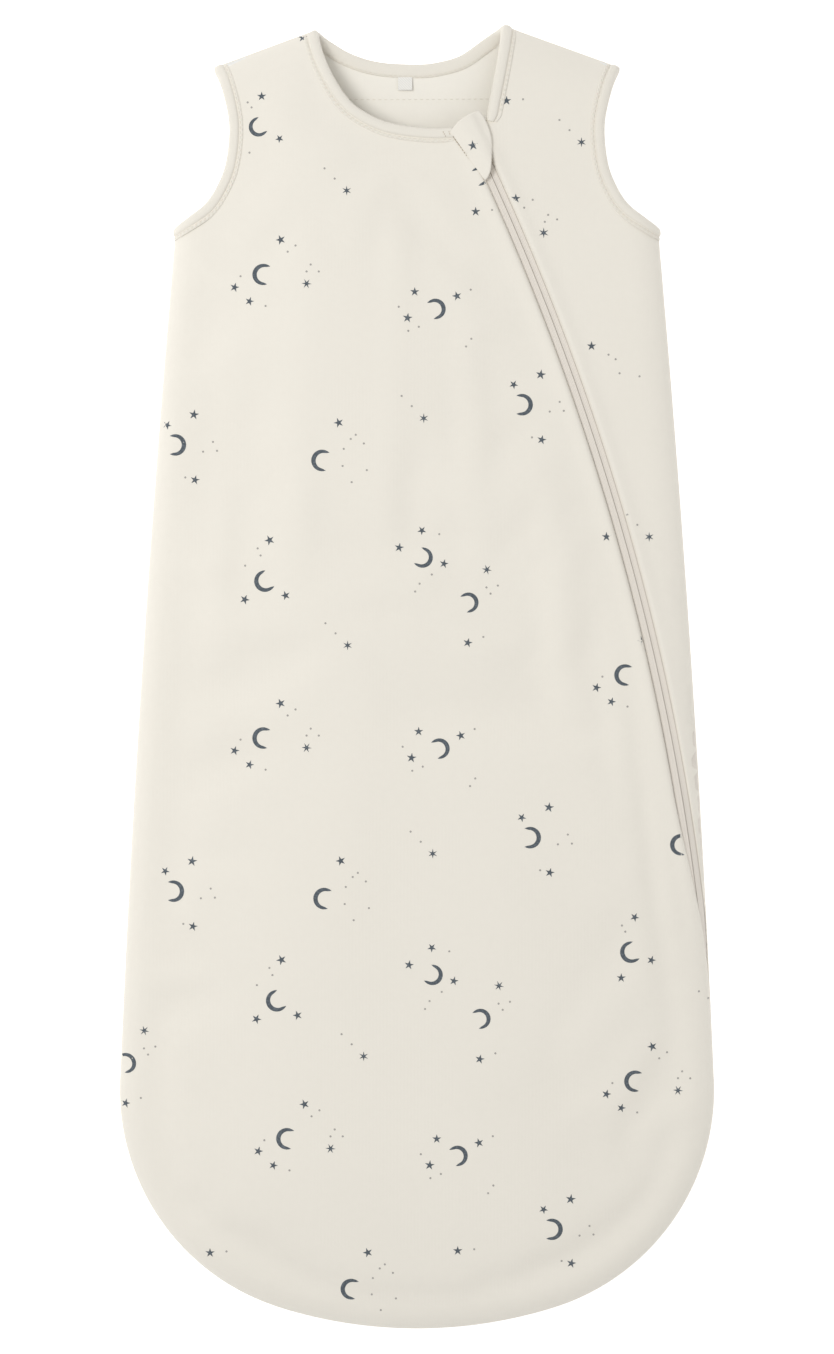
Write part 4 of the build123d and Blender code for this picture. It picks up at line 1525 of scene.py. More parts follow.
@dataclass
class ZipParts:
    """The zip's tapes, its coils and the guard behind them.

    Attributes:
        bag: The bag.
        tape_edge: Inner edge of each tape, from the zip's middle.
        tape_reach: Its outer edge.
        tape_depth: Depth of its face under the cloth.
        tape_thickness: Its thickness.
        coil: Inner and outer edge of each coil.
        coil_depth: Depth of the coil's two faces.
        turn_pitch: From one turn of the coil to the next.
        chain_foot: Height up the bag of the chain's lower end.
        guard_depth: Depth of the guard's two faces.
        right_top: Height up the bag of the upper end of the big panel's tape.
        stop_size: Size of the stop at the chain's foot: across, along and deep.
    """

    bag: Bag
    tape_edge: float = 0.02
    tape_reach: float = 13.0
    tape_depth: float = 0.8
    tape_thickness: float = 0.6
    coil: Spot = (0.5, 2.2)
    coil_depth: Spot = (1.45, 2.95)
    turn_pitch: float = 1.7
    chain_foot: float = -98.0
    guard_depth: Spot = (4.45, 5.15)
    right_top: float = 292.0
    stop_size: tuple[float, float, float] = (4.4, 2.4, 1.5)

    def strip(self, name: str, offsets: Sequence[tuple[float, float]], ends: Spot, thickness: float,
              skin: bpy.types.Material) -> bpy.types.Object:
        """Build a strip that follows the zip.

        Args:
            name: The piece's name.
            offsets: Distance from the zip's middle and depth under the cloth, across the strip.
            ends: Heights up the bag of its two ends.
            thickness: Its thickness.
            skin: Its finish.

        Returns:
            The strip.
        """
        side = side_line(self.bag)
        rows, run = [], []
        middle = self.bag.zip.line(0, *ends, step=2.5)
        reach = np.interp(middle[:, 1], side[:, 1], side[:, 0]) - middle[:, 0] - 1.0
        for offset, depth in offsets:
            flat = self.bag.zip.line(offset, *ends, step=2.5)
            flat = even_line(flat, np.linalg.norm(np.diff(flat, axis=0), axis=1).sum() / (len(middle) - 1))
            flat = flat[: len(middle)]
            flat[:, 0] -= np.maximum(offset - reach[: len(flat)], 0)
            rows.append(self.bag.surface(flat, Face.FRONT, depth))
            run += [(k * 2.5, offset) for k in range(len(flat))]
        count = len(rows[0])
        faces = []
        for i in range(len(rows) - 1):
            for k in range(count - 1):
                a, b, c, d = i * count + k, (i + 1) * count + k, (i + 1) * count + k + 1, i * count + k + 1
                faces += [(a, c, b), (a, d, c)]
        sheet = Sheet(np.vstack(rows), np.array(faces))
        if sheet.normals()[:, 2].mean() < 0:
            sheet.faces = sheet.faces[:, ::-1]
        corners, sides = sheet.layer(0.0, thickness)
        piece = make_piece(name, corners, sides, skin, np.array(run + run), 50)
        return piece

    def coil_half(self, name: str, side: int, skin: bpy.types.Material) -> bpy.types.Object:
        """Build one half of the chain from its repeated turns."""
        middle = self.bag.zip.line(0, 292.0, self.chain_foot, self.turn_pitch)
        run = unit(np.gradient(middle, axis=0))
        across = np.column_stack([-run[:, 1], run[:, 0]])
        inner, outer = self.coil
        level, half_height = -sum(self.coil_depth) / 2, (self.coil_depth[1] - self.coil_depth[0]) / 2 - 0.28
        radius = 0.3
        form = []
        for t in np.linspace(0, 2 * math.pi, 9, endpoint=False):
            head = 1.25 if math.cos(t) < -0.5 else 1.0
            for s in np.linspace(0, 2 * math.pi, 4, endpoint=False):
                reach = (inner + outer) / 2 + ((outer - inner) / 2 - radius + radius * math.cos(s)) * math.cos(t)
                rise = level + (half_height + radius * math.cos(s)) * math.sin(t)
                form.append((reach, head * radius * math.sin(s) * 1.3 + 0.35 * math.sin(t), rise))
        form = np.array(form)
        faces = [
            (i * 4 + k, i * 4 + (k + 1) % 4, (i + 1) % 9 * 4 + (k + 1) % 4, (i + 1) % 9 * 4 + k)
            for i in range(9)
            for k in range(4)
        ]
        base = self.bag.surface(middle, Face.FRONT)
        forms = []
        for spot, along, cross in zip(base, run, across):
            turn = np.zeros_like(form)
            turn[:, :2] = spot[:2] + side * form[:, :1] * cross * (1 if cross[0] > 0 else -1) + form[:, 1:2] * along
            turn[:, 2] = spot[2] + form[:, 2]
            forms.append((turn, faces))
        coil = make_piece(name, *join_forms(forms), skin, smooth=80)
        return coil

    def foot_stop(self, skin: bpy.types.Material) -> bpy.types.Object:
        """Shape the stop that clasps both halves of the chain at its foot."""
        across, along, deep = self.stop_size
        middle = self.bag.zip.line(0, self.chain_foot - along / 2, self.chain_foot - along, 1.0)[:1]
        out = Vector(self.bag.normals(middle, Face.FRONT)[0])
        run = Vector((-(middle[0][1] - self.bag.zip.centre[1]), middle[0][0] - self.bag.zip.centre[0], 0.0))
        run = (run - run.dot(out) * out).normalized()
        spot = Vector(self.bag.surface(middle, Face.FRONT)[0]) - (self.coil_depth[0] + deep / 2) * out
        bpy.ops.object.select_all(action="DESELECT")
        bpy.ops.mesh.primitive_cube_add(size=MM)
        stop = bpy.context.object
        stop.name = "chain_foot_stop"
        bpy.ops.object.mode_set(mode="EDIT")
        bpy.ops.mesh.select_all(action="SELECT")
        bpy.ops.transform.resize(value=self.stop_size, center_override=(0, 0, 0))
        bpy.ops.mesh.bevel(offset=0.35 * MM, segments=3, affect="EDGES")
        bpy.ops.object.mode_set(mode="OBJECT")
        stop.matrix_world = Matrix.Translation(spot * MM) @ Matrix((run.cross(out), run, out)).transposed().to_4x4()
        bpy.ops.object.transform_apply(location=True, rotation=True, scale=True)
        bpy.ops.object.shade_smooth_by_angle(angle=math.radians(40))
        stop.data.materials.append(skin)
        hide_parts("zip_bottom_stop")
        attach(stop, "bag")
        return stop

    def build(self, finishes: Finishes, bend: Callable) -> list[bpy.types.Object]:
        """Build the tapes, coils, stop and guard, and return the pieces."""
        bead = [(0.0, 0.3), (0.2, -0.05), (0.5, -0.15), (0.8, 0.0), (1.1, 0.15), (1.6, 0.05)]
        tape = [(self.tape_edge + x, self.tape_depth + rise) for x, rise in bead]
        tape += [(x, self.tape_depth) for x in (2.6, 3.4, 4.2, 5.0, 6.5, 8.5, self.tape_reach)]
        left = self.strip("tape_left", tape, (self.bag.zip.top, -150.0), self.tape_thickness, finishes.tape)
        mirrored = [(-x, depth + 0.7 * math.exp(-(((x - 5.0) / 1.6) ** 2))) for x, depth in tape]
        right = self.strip(
            "tape_right", mirrored, (self.right_top, self.bag.zip.foot + 2.0), self.tape_thickness, finishes.tape
        )
        guard_line = [(x, self.guard_depth[0]) for x in (-12.5, -6.0, 0.0, 6.0, 12.5)]
        guard = self.strip("guard_strip", guard_line, (286.0, -92.0), 0.7, finishes.lining)
        coils = [self.coil_half("coil_left", 1, finishes.coil), self.coil_half("coil_right", -1, finishes.coil)]
        for piece, node, slot in (
            (left, "zip_tape_left", "zip_tape"),
            (right, "zip_tape_right", "zip_tape"),
            (guard, "zip_guard", "lining_cloth"),
            (coils[0], "zip_coil_left", "zip_coil"),
            (coils[1], "zip_coil_right", "zip_coil"),
        ):
            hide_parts(node)
        bend(right)
        bend(coils[1])
        for piece in (left, guard, coils[0]):
            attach(piece, "bag")
        return [left, right, guard, *coils, self.foot_stop(finishes.stop)]


@dataclass
class ZipGarage:
    """The leaf-shaped flap that lies over the slider, with the star printed on it."""

    bag: Bag
    root: tuple[Spot, Spot] = ((17.6, 291.0), (36.4, 264.6))
    free_edge: tuple[Spot, ...] = (
        (36.4, 264.6), (38.6, 268.0), (39.6, 272.6), (39.9, 278.0), (40.1, 284.0),
        (39.2, 290.0), (37.0, 296.0), (33.4, 302.2),
    )
    top_edge: tuple[Spot, ...] = ((33.4, 302.2), (29.0, 300.6), (22.6, 296.4), (17.6, 291.0))
    band_rows: tuple[tuple[Spot, Spot], ...] = (((13.4, 291.6), (15.4, 288.0)), ((16.6, 291.8), (17.8, 288.6)))
    band_lift: float = 1.55
    thickness: float = 1.3
    low: float = 0.9
    high: float = 3.1

    def build(self, finishes: Finishes) -> bpy.types.Object:
        """Build the flap as a closed, lightly padded leaf."""
        edge = np.vstack([smooth_line(self.free_edge, 1.5)[:-1], smooth_line(self.top_edge, 1.5)[:-1]])
        sewn = even_line(np.array(self.root), 1.5)[:-1]
        loop = np.vstack([edge, sewn])
        rings = np.vstack([beside(edge, 0.35), beside(edge, 0.9)])
        rings = rings[is_inside(rings, loop) & (reach_to(rings, loop, True) > 0.3)]
        flat, faces = fill_loop(loop, rings, 1.8, lambda p: p[:, 0] > 1e9)
        reach = reach_to(flat, loop, True)
        from_root = reach_to(flat, np.array(self.root))
        middle = self.bag.zip.line(0, 310.0, 255.0)
        past = np.interp(flat[:, 1], middle[::-1, 1], middle[::-1, 0])
        curl = 1 - 0.8 * soft_step((flat[:, 0] - past - 3.6) / 4.0)
        lift = self.low + (self.high - self.low) * soft_step(from_root / 8.0) * curl
        floor = self.bag.surface(flat, Face.FRONT)[:, 2] + lift
        half = self.thickness / 2 * (0.15 + 0.85 * np.sqrt(1 - np.clip(1 - reach / 1.1, 0, 1) ** 2))
        dent = 0.18 * np.exp(-(((reach - 2.4) / 0.5) ** 2))
        upper = np.column_stack([flat, floor + self.thickness / 2 + half - dent])
        lower = np.column_stack([flat, floor + self.thickness / 2 - half])
        count = len(flat)
        self.top = Sheet(upper, faces)
        rim = self.top.rim()
        sides = [tuple(f) for f in faces.tolist()] + [(c + count, b + count, a + count) for a, b, c in faces.tolist()]
        sides += [(b, a, a + count, b + count) for a, b in rim]
        flap = make_piece("garage_leaf", np.vstack([upper, lower]), sides, finishes.jersey, smooth=60)
        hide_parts("zip_garage")
        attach(flap, "flap")
        return flap

    def seam(self, skin: bpy.types.Material) -> bpy.types.Object:
        """Sew the flap's root to the cloth with a close row of stitches in dark thread, whose colour paints the shadow
        line along the root.
        """
        run = self.laid(even_line(np.array(self.root), 1.5))
        thread = make_piece("garage_seam_painted_shadow", *StitchRow(run, -0.3, 0.9, 1.75, 1.65, 0.26).build(), skin)
        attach(thread, "lapel")
        return thread

    def band_end(self, skin: bpy.types.Material) -> bpy.types.Object:
        """Close the neckband's end beside the flap with two short rows of stitches in the same dark thread, whose
        colour paints shade lines there.
        """
        lines = [self.laid(even_line(np.array(ends), 1.0)) for ends in self.band_rows]
        rows = [StitchRow(line, 0.0, self.band_lift, 1.2, 1.1, 0.2).build() for line in lines]
        thread = make_piece("neckband_end_stitches_painted_shade", *join_forms(rows), skin)
        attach(thread, "lapel")
        return thread

    def laid(self, flat: np.ndarray) -> EdgeRun:
        """A flat line on the front, with its directions."""
        line, out = self.bag.surface(flat, Face.FRONT), self.bag.normals(flat, Face.FRONT)
        along = unit(np.gradient(line, axis=0))
        return EdgeRun(line, np.cross(out, along), out)


# ---------------------------------------------------------------------------------------- print


MOON_TIP = math.radians(58.0)  # half the angle that a crescent stands open
MOON_TAPER = math.radians(19.0)  # the length of each of its points, likewise
MOON_INSIDE = 0.362  # radius of its inner circle for a height of one
MOON_SHIFT = 0.066  # how far that circle's middle is towards the opening
MOON_MIDDLE = 0.12  # from the middle of its box to the middle of its outer circle


class Motif(Enum):
    """What the print is made of."""

    MOON = "moon"
    STAR = "star"
    SIX_STAR = "six_star"
    DOT = "dot"


@dataclass(frozen=True)
class Mark:
    """One printed mark.

    Attributes:
        motif: What it is.
        x: Its place across.
        y: Its place up.
        size: Its full height.
        turn: How far it is turned, in degrees anticlockwise.
    """

    motif: Motif
    x: float
    y: float
    size: float
    turn: float = 0.0

    def form(self) -> tuple[np.ndarray, list[tuple[int, ...]]]:
        """The mark's flat corners and faces, in place."""
        if self.motif is Motif.MOON:
            turns = np.linspace(MOON_TIP, 2 * math.pi - MOON_TIP, 21)
            inside = MOON_SHIFT * np.cos(turns) + np.sqrt(MOON_INSIDE**2 - (MOON_SHIFT * np.sin(turns)) ** 2)
            taper = np.clip(np.minimum(turns - turns[0], turns[-1] - turns) / MOON_TAPER, 0, 1)
            reach = 0.5 - (0.5 - inside) * np.sqrt(taper)
            rays = np.column_stack([np.cos(turns), np.sin(turns)])
            corners = np.vstack([0.5 * rays, reach[1:-1, None] * rays[1:-1]]) + (MOON_MIDDLE, 0)
            faces = [(0, 1, 21)] + [(i, i + 1, i + 21, i + 20) for i in range(1, 19)] + [(19, 20, 39)]
        elif self.motif is Motif.DOT:
            corners = np.array([(math.cos(t), math.sin(t)) for t in np.linspace(0, 2 * math.pi, 8, endpoint=False)]) / 2
            faces = [tuple(range(8))]
        else:
            arms = 5 if self.motif is Motif.STAR else 6
            waist = 0.37 if self.motif is Motif.STAR else 0.31
            turns = np.linspace(0, 2 * math.pi, 2 * arms, endpoint=False) + math.pi / 2
            reaches = [0.5 if k % 2 == 0 else 0.5 * waist for k in range(2 * arms)]
            corners = np.array([(0, 0)] + [(r * math.cos(t), r * math.sin(t)) for r, t in zip(reaches, turns)])
            faces = [(0, 1 + k, 1 + (k + 1) % (2 * arms)) for k in range(2 * arms)]
        angle = math.radians(self.turn)
        spin = np.array([(math.cos(angle), math.sin(angle)), (-math.sin(angle), math.cos(angle))])
        return corners @ spin * self.size + (self.x, self.y), faces


@dataclass(frozen=True)
class MoonGroup:
    """A moon with the stars and dots round it, in millimetres from the moon's middle.

    Attributes:
        turn: How far the moon is turned; at nought it opens to the wearer's left.
        stars: Each star's place and size.
        sixes: The same for the six-pointed ones.
        dots: Each dot's place.
        moon: The moon's height, or nought where there is none.
    """

    turn: float
    stars: tuple[tuple[float, float, float], ...]
    sixes: tuple[tuple[float, float, float], ...] = ()
    dots: tuple[Spot, ...] = ()
    moon: float = 11.5

    def marks(self, x: float, y: float) -> list[Mark]:
        """The group's marks round a place."""
        found = [Mark(Motif.MOON, x, y, self.moon, self.turn)] if self.moon else []
        found += [Mark(Motif.STAR, x + a, y + b, s, 37 * a + 11 * b) for a, b, s in self.stars]
        found += [Mark(Motif.SIX_STAR, x + a, y + b, s, 23 * a) for a, b, s in self.sixes]
        return found + [Mark(Motif.DOT, x + a, y + b, 1.15) for a, b in self.dots]


class Print(Enum):
    """The kinds of moon group that the print repeats."""

    OPEN_LEFT = MoonGroup(
        -10.0, ((10.7, 18.2, 5.4), (-13.9, -7.0, 5.2), (-5.9, -14.5, 4.9)), ((24.6, -5.4, 5.4),),
        ((18.7, 15.0), (14.5, 11.8), (26.8, 4.8), (24.6, 1.1), (31.1, 1.1), (-10.7, -1.1), (2.7, -17.1)),
    )
    OPEN_RIGHT = MoonGroup(
        202.0, ((-12.3, 8.6, 5.0), (10.2, 6.4, 5.2), (-16.1, -5.4, 5.4)), (),
        ((-20.8, 0.5), (-10.1, -10.1), (-15.7, -12.3), (17.6, 9.9), (17.9, -16.4), (15.1, -20.5)), 10.9,
    )
    TALL = MoonGroup(
        180.0, ((-5.9, 10.7, 4.9), (8.6, 16.1, 5.6), (9.1, -18.7, 5.2)), (),
        ((13.4, -3.6), (18.7, 1.6), (20.9, -3.2), (3.9, -17.4)),
    )
    LONE_STAR_MOON = MoonGroup(
        -12.0, ((10.2, 19.8, 5.4),), (),
        ((16.6, 11.2), (12.9, 5.9), (19.3, 13.4), (23.6, 8.8), (12.3, -3.2), (25.2, -5.4), (17.1, -11.8)),
    )
    TILTED = MoonGroup(
        30.0, ((3.7, 22.5, 5.6), (-9.6, -9.1, 5.4), (12.3, -7.0, 5.2)), (),
        ((-2.7, 18.2), (-1.1, 14.4), (-9.4, 9.0)),
    )
    TILTED_BY_ZIP = MoonGroup(
        22.0, ((3.3, 19.2, 5.0), (-3.9, -13.2, 5.0), (12.3, -3.8, 5.0)), (),
        ((-3.5, 14.8), (-1.7, 11.5), (37.9, -20.7), (43.2, -24.6)),
    )
    UP = MoonGroup(
        155.0, ((-1.6, 15.0, 4.9), (-13.7, 5.9, 5.2), (10.2, -2.7, 5.0)), (),
        ((7.7, 13.1), (3.7, -8.5), (-2.8, -13.4), (-5.2, -17.6)), 10.9,
    )
    DOWN = MoonGroup(
        202.0, ((-1.6, -22.0, 5.2),), ((8.6, 17.1, 5.4),),
        ((14.5, 8.6), (8.4, 7.6), (10.6, 4.3), (6.7, -18.9)), 10.7,
    )
    HIGH = MoonGroup(
        32.0, ((2.7, 17.1, 5.2), (12.3, -5.9, 4.6)), (), ((-2.7, 11.2), (-4.8, 14.0), (-3.8, -13.0)), 10.4
    )
    SINGLE = MoonGroup(0.0, (), ((0.0, 0.0, 5.2),), ((-6.4, 6.4), (-11.8, 11.8)), 0.0)
    STAR_ONLY = MoonGroup(0.0, ((0.0, 0.0, 5.2),), (), ((8.8, 0.8),), 0.0)
    STAR_TRAIL = MoonGroup(0.0, ((0.0, 0.0, 5.2),), (), ((12.9, -7.0), (15.0, -14.5), (25.7, -16.1), (9.1, -4.6)), 0.0)
    STAR_PAIR = MoonGroup(0.0, ((0.0, 0.0, 5.2),), (), ((9.1, -0.5), (4.5, -4.8)), 0.0)
    STAR_CLOUD = MoonGroup(0.0, (), ((0.0, 0.0, 5.6),), ((2.4, 9.6), (7.2, 7.2), (0.6, 5.9)), 0.0)
    MOON_ONLY = MoonGroup(204.0, (), (), (), 10.0)


FRONT_PRINT = (
    (Print.HIGH, -85.9, 293.8), (Print.OPEN_LEFT, -83.7, 215.6), (Print.OPEN_RIGHT, 11.1, 197.4),
    (Print.TALL, 57.7, 145.9), (Print.TALL, -128.2, 124.5), (Print.LONE_STAR_MOON, -52.1, 116.0),
    (Print.TILTED, -82.6, 50.6), (Print.UP, 4.2, 63.4), (Print.DOWN, 28.8, 40.4), (Print.OPEN_LEFT, 110.2, 1.3),
    (Print.OPEN_LEFT, -83.7, -32.4), (Print.OPEN_RIGHT, 13.2, -37.8), (Print.TALL, 62.0, -86.0),
    (Print.TALL, -129.2, -114.9), (Print.LONE_STAR_MOON, -51.0, -118.1), (Print.LONE_STAR_MOON, 140.2, -89.7),
    (Print.TILTED_BY_ZIP, 113.4, -148.1), (Print.TILTED, -76.2, -173.8), (Print.UP, 9.5, -159.9),
    (Print.DOWN, 35.2, -182.4), (Print.DOWN, -155.0, -207.0), (Print.OPEN_LEFT, 115.5, -216.6),
    (Print.OPEN_LEFT, -70.9, -246.6), (Print.OPEN_RIGHT, 22.9, -255.7), (Print.TALL, 73.7, -295.9),
    (Print.LONE_STAR_MOON, -36.6, -328.0), (Print.SINGLE, -37.6, 260.0), (Print.SINGLE, 3.6, 138.4),
    (Print.SINGLE, -37.1, 16.9), (Print.SINGLE, 8.4, -94.5), (Print.SINGLE, -28.5, -202.7),
    (Print.STAR_ONLY, 21.8, -307.2), (Print.STAR_ONLY, -111.0, -308.8), (Print.STAR_ONLY, 101.6, 75.2),
    (Print.STAR_ONLY, 31.4, 249.3), (Print.MOON_ONLY, 34.7, 268.6), (Print.STAR_ONLY, -61.5, 344.2),
)
ZIP_SIDE_PRINT = (
    (Print.STAR_ONLY, 48.0, 308.8), (Print.SINGLE, 88.2, 286.8), (Print.STAR_PAIR, 52.9, 256.3),
    (Print.STAR_CLOUD, 67.9, 238.1), (Print.STAR_TRAIL, 93.6, 177.5), (Print.SINGLE, 124.6, 75.2),
)
BACK_REPEAT = (
    (Print.OPEN_LEFT, 0.0, 0.0), (Print.OPEN_RIGHT, 94.8, -18.2), (Print.TALL, 141.4, -69.7),
    (Print.LONE_STAR_MOON, 31.6, -99.6), (Print.TILTED, 1.1, -165.0), (Print.UP, 88.4, -151.1),
    (Print.DOWN, 112.5, -175.2), (Print.SINGLE, 46.1, 44.4), (Print.SINGLE, 87.3, -77.2),
    (Print.SINGLE, 46.6, -198.7),
)


@dataclass
class CrescentPrint:
    """The printed moons, stars and dots of one panel, as a film of ink on its cloth.

    Attributes:
        name: The piece's name.
        sheet: The cloth that it is printed on.
        loop: The cloth's outline.
        face: The face that it is on.
        lift: Height of the film above the cloth.
        sink: How far it reaches into the cloth.
    """

    name: str
    sheet: Sheet
    loop: np.ndarray
    face: Face
    lift: float = 0.09
    sink: float = 0.06

    def build(self, marks: Sequence[Mark], skin: bpy.types.Material) -> bpy.types.Object:
        """Lay the marks on the cloth and give them their thickness.

        Args:
            marks: The marks to print.
            skin: The ink's finish.

        Returns:
            One piece with every mark that falls on the cloth.
        """
        tree = BVHTree.FromPolygons(self.sheet.points.tolist(), self.sheet.faces.tolist())
        smooth = self.sheet.normals()
        down = Vector((0, 0, -self.face.value))
        forms = []
        for mark in marks:
            flat, faces = mark.form()
            kept = is_inside(flat, self.loop)
            faces = [face for face in faces if all(kept[i] for i in face)]
            if not faces:
                continue
            points, outs = [], []
            for x, y in flat:
                spot, normal, hit, _ = tree.ray_cast(Vector((x, y, 60.0 * self.face.value)), down)
                if spot is None:
                    spot, normal, hit, _ = tree.find_nearest(Vector((x, y, 0.0)))
                points.append(spot)
                outs.append(smooth[self.sheet.faces[hit]].mean(0))
            points, outs = np.array(points), unit(np.array(outs))
            if self.face is Face.BACK:
                faces = [face[::-1] for face in faces]
            used = sorted({i for face in faces for i in face})
            index = {old: new for new, old in enumerate(used)}
            faces = [tuple(index[i] for i in face) for face in faces]
            points, outs = points[used], outs[used]
            count = len(used)
            edges = {}
            for face in faces:
                for a, b in zip(face, face[1:] + face[:1]):
                    edges.pop((b, a), None) if (b, a) in edges else edges.setdefault((a, b), True)
            sides = faces + [tuple(i + count for i in face[::-1]) for face in faces]
            sides += [(b, a, a + count, b + count) for a, b in edges]
            forms.append((np.vstack([points + self.lift * outs, points - self.sink * outs]), sides))
        return make_piece(self.name, *join_forms(forms), skin, smooth=30)


# --------------------------------------------------------------------------------------- studio


@dataclass(frozen=True)
class Studio:
    """The plain pale floor, soft lights and camera.

    Attributes:
        distance: Camera height above the bag's middle level.
        lens: Its focal length in millimetres.
        floor_size: Side of the floor in metres.
        floor_drop: How far the floor is under the bag's own underside, for the bands' thickness.
    """

    distance: float = 2.0144
    lens: float = 100.0
    floor_size: float = 12.0
    floor_drop: float = 0.002

    def floor(self) -> None:
        """Lay the floor."""
        bpy.ops.object.select_all(action="DESELECT")
        bpy.ops.mesh.primitive_plane_add(size=self.floor_size, location=(0, 0, -self.floor_drop))
        floor = bpy.context.object
        floor.name = "floor"
        bench = NodeBench("floor_paper")
        place = bench.place(Follows.PLACE)
        cloud = bench.add("TexNoise", {"Vector": place, "Scale": 3.0}).outputs["Fac"]
        colour = bench.tint(cloud, (253, 253, 253), (255, 255, 255))
        bench.tree.links.new(colour, bench.shader.inputs["Base Color"])
        bench.set(Roughness=0.95, Specular_IOR_Level=0.0, Emission_Strength=0.5)
        bench.set(Emission_Color=(1.0, 1.0, 1.0, 1.0))
        floor.data.materials.append(bench.material)

    def light(self, name: str, place: tuple[float, float, float], size: float, power: float) -> None:
        """Hang one soft square light that faces the bag."""
        lamp = bpy.data.lights.new(name, "AREA")
        lamp.shape = "SQUARE"
        lamp.size = size
        lamp.energy = power
        holder = bpy.data.objects.new(name, lamp)
        bpy.context.scene.collection.objects.link(holder)
        holder.location = place
        holder.rotation_euler = (-Vector(place)).to_track_quat("-Z", "Y").to_euler()

    def build(self) -> None:
        """Set up floor, lights, surroundings and camera."""
        self.floor()
        self.light("head_light", (-0.85, 0.38, 1.5), 0.7, 13.0)
        self.light("side_light", (1.6, -0.2, 2.0), 2.2, 8.0)
        world = bpy.data.worlds.new("studio")
        world.use_nodes = True
        world.node_tree.nodes["Background"].inputs["Color"].default_value = (1.0, 1.0, 1.0, 1.0)
        world.node_tree.nodes["Background"].inputs["Strength"].default_value = 0.53
        bpy.context.scene.world = world
        bpy.context.scene.view_settings.view_transform = "Standard"
        camera = bpy.data.cameras.new("camera")
        camera.lens = self.lens
        camera.sensor_width = 36.0
        holder = bpy.data.objects.new("camera", camera)
        bpy.context.scene.collection.objects.link(holder)
        holder.location = (0.0, 0.0, self.distance + 0.012)
        holder.rotation_euler = (0.0, 0.0, 0.0)
        bpy.context.scene.camera = holder


# ----------------------------------------------------------------------------------------- build


@dataclass(frozen=True)
class FoldLine:
    """The line that the front folds open along, in millimetres."""

    foot: tuple[float, float, float] = (140.08, -100.9, 15.40)
    top: tuple[float, float, float] = (-29.94, 301.5, 22.20)
    reach: float = 9.0

    def bend(self, piece: bpy.types.Object) -> None:
        """Bake a piece's place into its mesh; the piece is not bent."""
        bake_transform(piece)


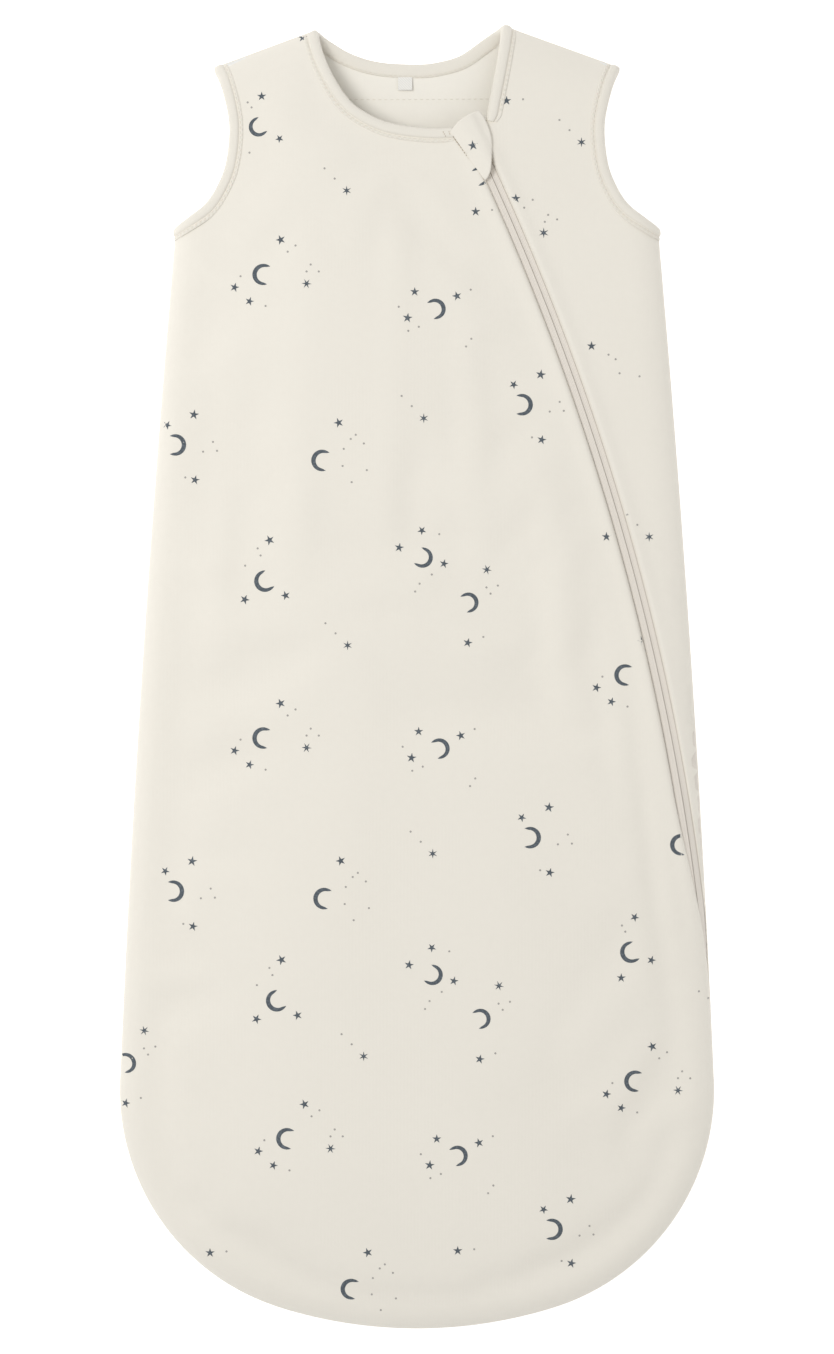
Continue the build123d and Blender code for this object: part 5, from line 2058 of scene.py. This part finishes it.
class SleepingBag:
    """The whole bag, put together from its sub-assemblies."""

    def __init__(self) -> None:
        """Set out the form and the finishes."""
        self.bag = Bag(BagForm(), ZipRun())
        self.cutter = PanelCutter(self.bag)
        self.fold = FoldLine()
        self.layers = Layers()
        self.print_shrink = 0.9965
        self.finishes = Finishes.build()
        self.pieces: list[bpy.types.Object] = []

    def keep(self, pieces: Sequence[bpy.types.Object]) -> None:
        """Note new pieces and report each."""
        for piece in pieces:
            self.pieces.append(piece)
            log.info("%s: %d faces", piece.name, len(piece.data.polygons))

    def panels(self) -> dict[str, ClothPanel]:
        """Cut and dress the three panels, settling the big front panel's cloth first."""
        slot = self.cutter.slot
        made = {}
        front_nodes = {k: (f"front_{k}", f"lapel_{k}") for k in ("outer", "wadding", "lining")}
        swell = None
        for name, face, loop, edge, nodes, blended in (
            ("front_panel", Face.FRONT, self.cutter.front_loop(slot.left_gap),
             slot.main_edge(self.bag, slot.left_gap), front_nodes, True),
            ("zip_side_panel", Face.FRONT, self.cutter.zip_side_loop(slot.right_gap),
             slot.side_edge(self.bag, slot.right_gap), {k: (f"zip_side_{k}",) for k in front_nodes}, False),
            ("back_panel", Face.BACK, self.cutter.back_loop(), None, {k: (f"back_{k}",) for k in front_nodes}, False),
        ):
            panel = ClothPanel(name, self.bag, face, loop, edge, nodes, blended)
            panel.lay()
            if blended:
                swell = PanelSwell(panel)
                swell.settle()
                swell.move(panel.sheet)
            self.keep(panel.dress(self.finishes, self.layers, self.fold.bend))
            made[name] = panel
        return made

    def prints(self, panels: dict[str, ClothPanel], flap: ZipGarage) -> None:
        """Print the moons and stars on the panels and the flap."""
        shrink = self.print_shrink
        front = [mark for kind, x, y in FRONT_PRINT for mark in kind.value.marks(x * shrink, y * shrink)]
        side = [mark for kind, x, y in ZIP_SIDE_PRINT for mark in kind.value.marks(x * shrink, y * shrink)]
        back = []
        for column in range(-1, 2):
            for row in range(-1, 4):
                at_x, at_y = -60.0 + 188.0 * column, 230.0 + 25.0 * column - 224.0 * row
                back += [mark for kind, x, y in BACK_REPEAT for mark in kind.value.marks(at_x + x, at_y + y)]
        for panel_name, marks in (("front_panel", front), ("zip_side_panel", side), ("back_panel", back)):
            panel = panels[panel_name]
            for word, skin, chosen in (
                ("print", self.finishes.ink, [m for m in marks if m.motif is not Motif.DOT]),
                ("dots", self.finishes.faint_ink, [m for m in marks if m.motif is Motif.DOT]),
            ):
                film = CrescentPrint(f"{panel_name}_{word}", panel.sheet, panel.loop, panel.face)
                piece = film.build(chosen, skin)
                if panel.blended:
                    self.fold.bend(piece)
                else:
                    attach(piece, "bag")
                self.keep([piece])
        edge = np.vstack([np.array(flap.free_edge), np.array(flap.top_edge)])
        film = CrescentPrint("garage_star", flap.top, edge, Face.FRONT, 0.08, 0.05)
        star = film.build([Mark(Motif.STAR, 29.8, 283.2, 5.6, 8.0)], self.finishes.ink)
        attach(star, "flap")
        self.keep([star])

    def hardware(self) -> None:
        """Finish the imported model's own slider, stops and pull."""
        for node, skin in (
            ("slider_body", self.finishes.enamel),
            ("slider_crown", self.finishes.enamel),
            ("slider_pull", self.finishes.enamel),
            ("zip_top_stop_left", self.finishes.stop),
            ("zip_top_stop_right", self.finishes.stop),
        ):
            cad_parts[node].material_slots[0].material = skin
            log.info("%s finished", node)

    def build(self) -> None:
        """Build everything in order."""
        panels = self.panels()
        self.keep(Neckline(self.bag, self.cutter).build(self.finishes, self.fold.bend))
        for side in (1, -1):
            self.keep(ArmholeBand(self.bag, self.cutter, side).build(self.finishes))
        self.keep(BackNeckInside(self.bag, self.cutter).build(self.finishes))
        self.keep(ZipParts(self.bag).build(self.finishes, self.fold.bend))
        flap = ZipGarage(self.bag)
        self.keep([flap.build(self.finishes), flap.seam(self.finishes.seam), flap.band_end(self.finishes.seam)])
        self.prints(panels, flap)
        self.hardware()


def main() -> None:
    """Build the bag and the studio."""
    logging.basicConfig(level=logging.INFO, format="%(name)s: %(message)s")
    SleepingBag().build()
    Studio().build()


if __name__ == "__main__":
    main()
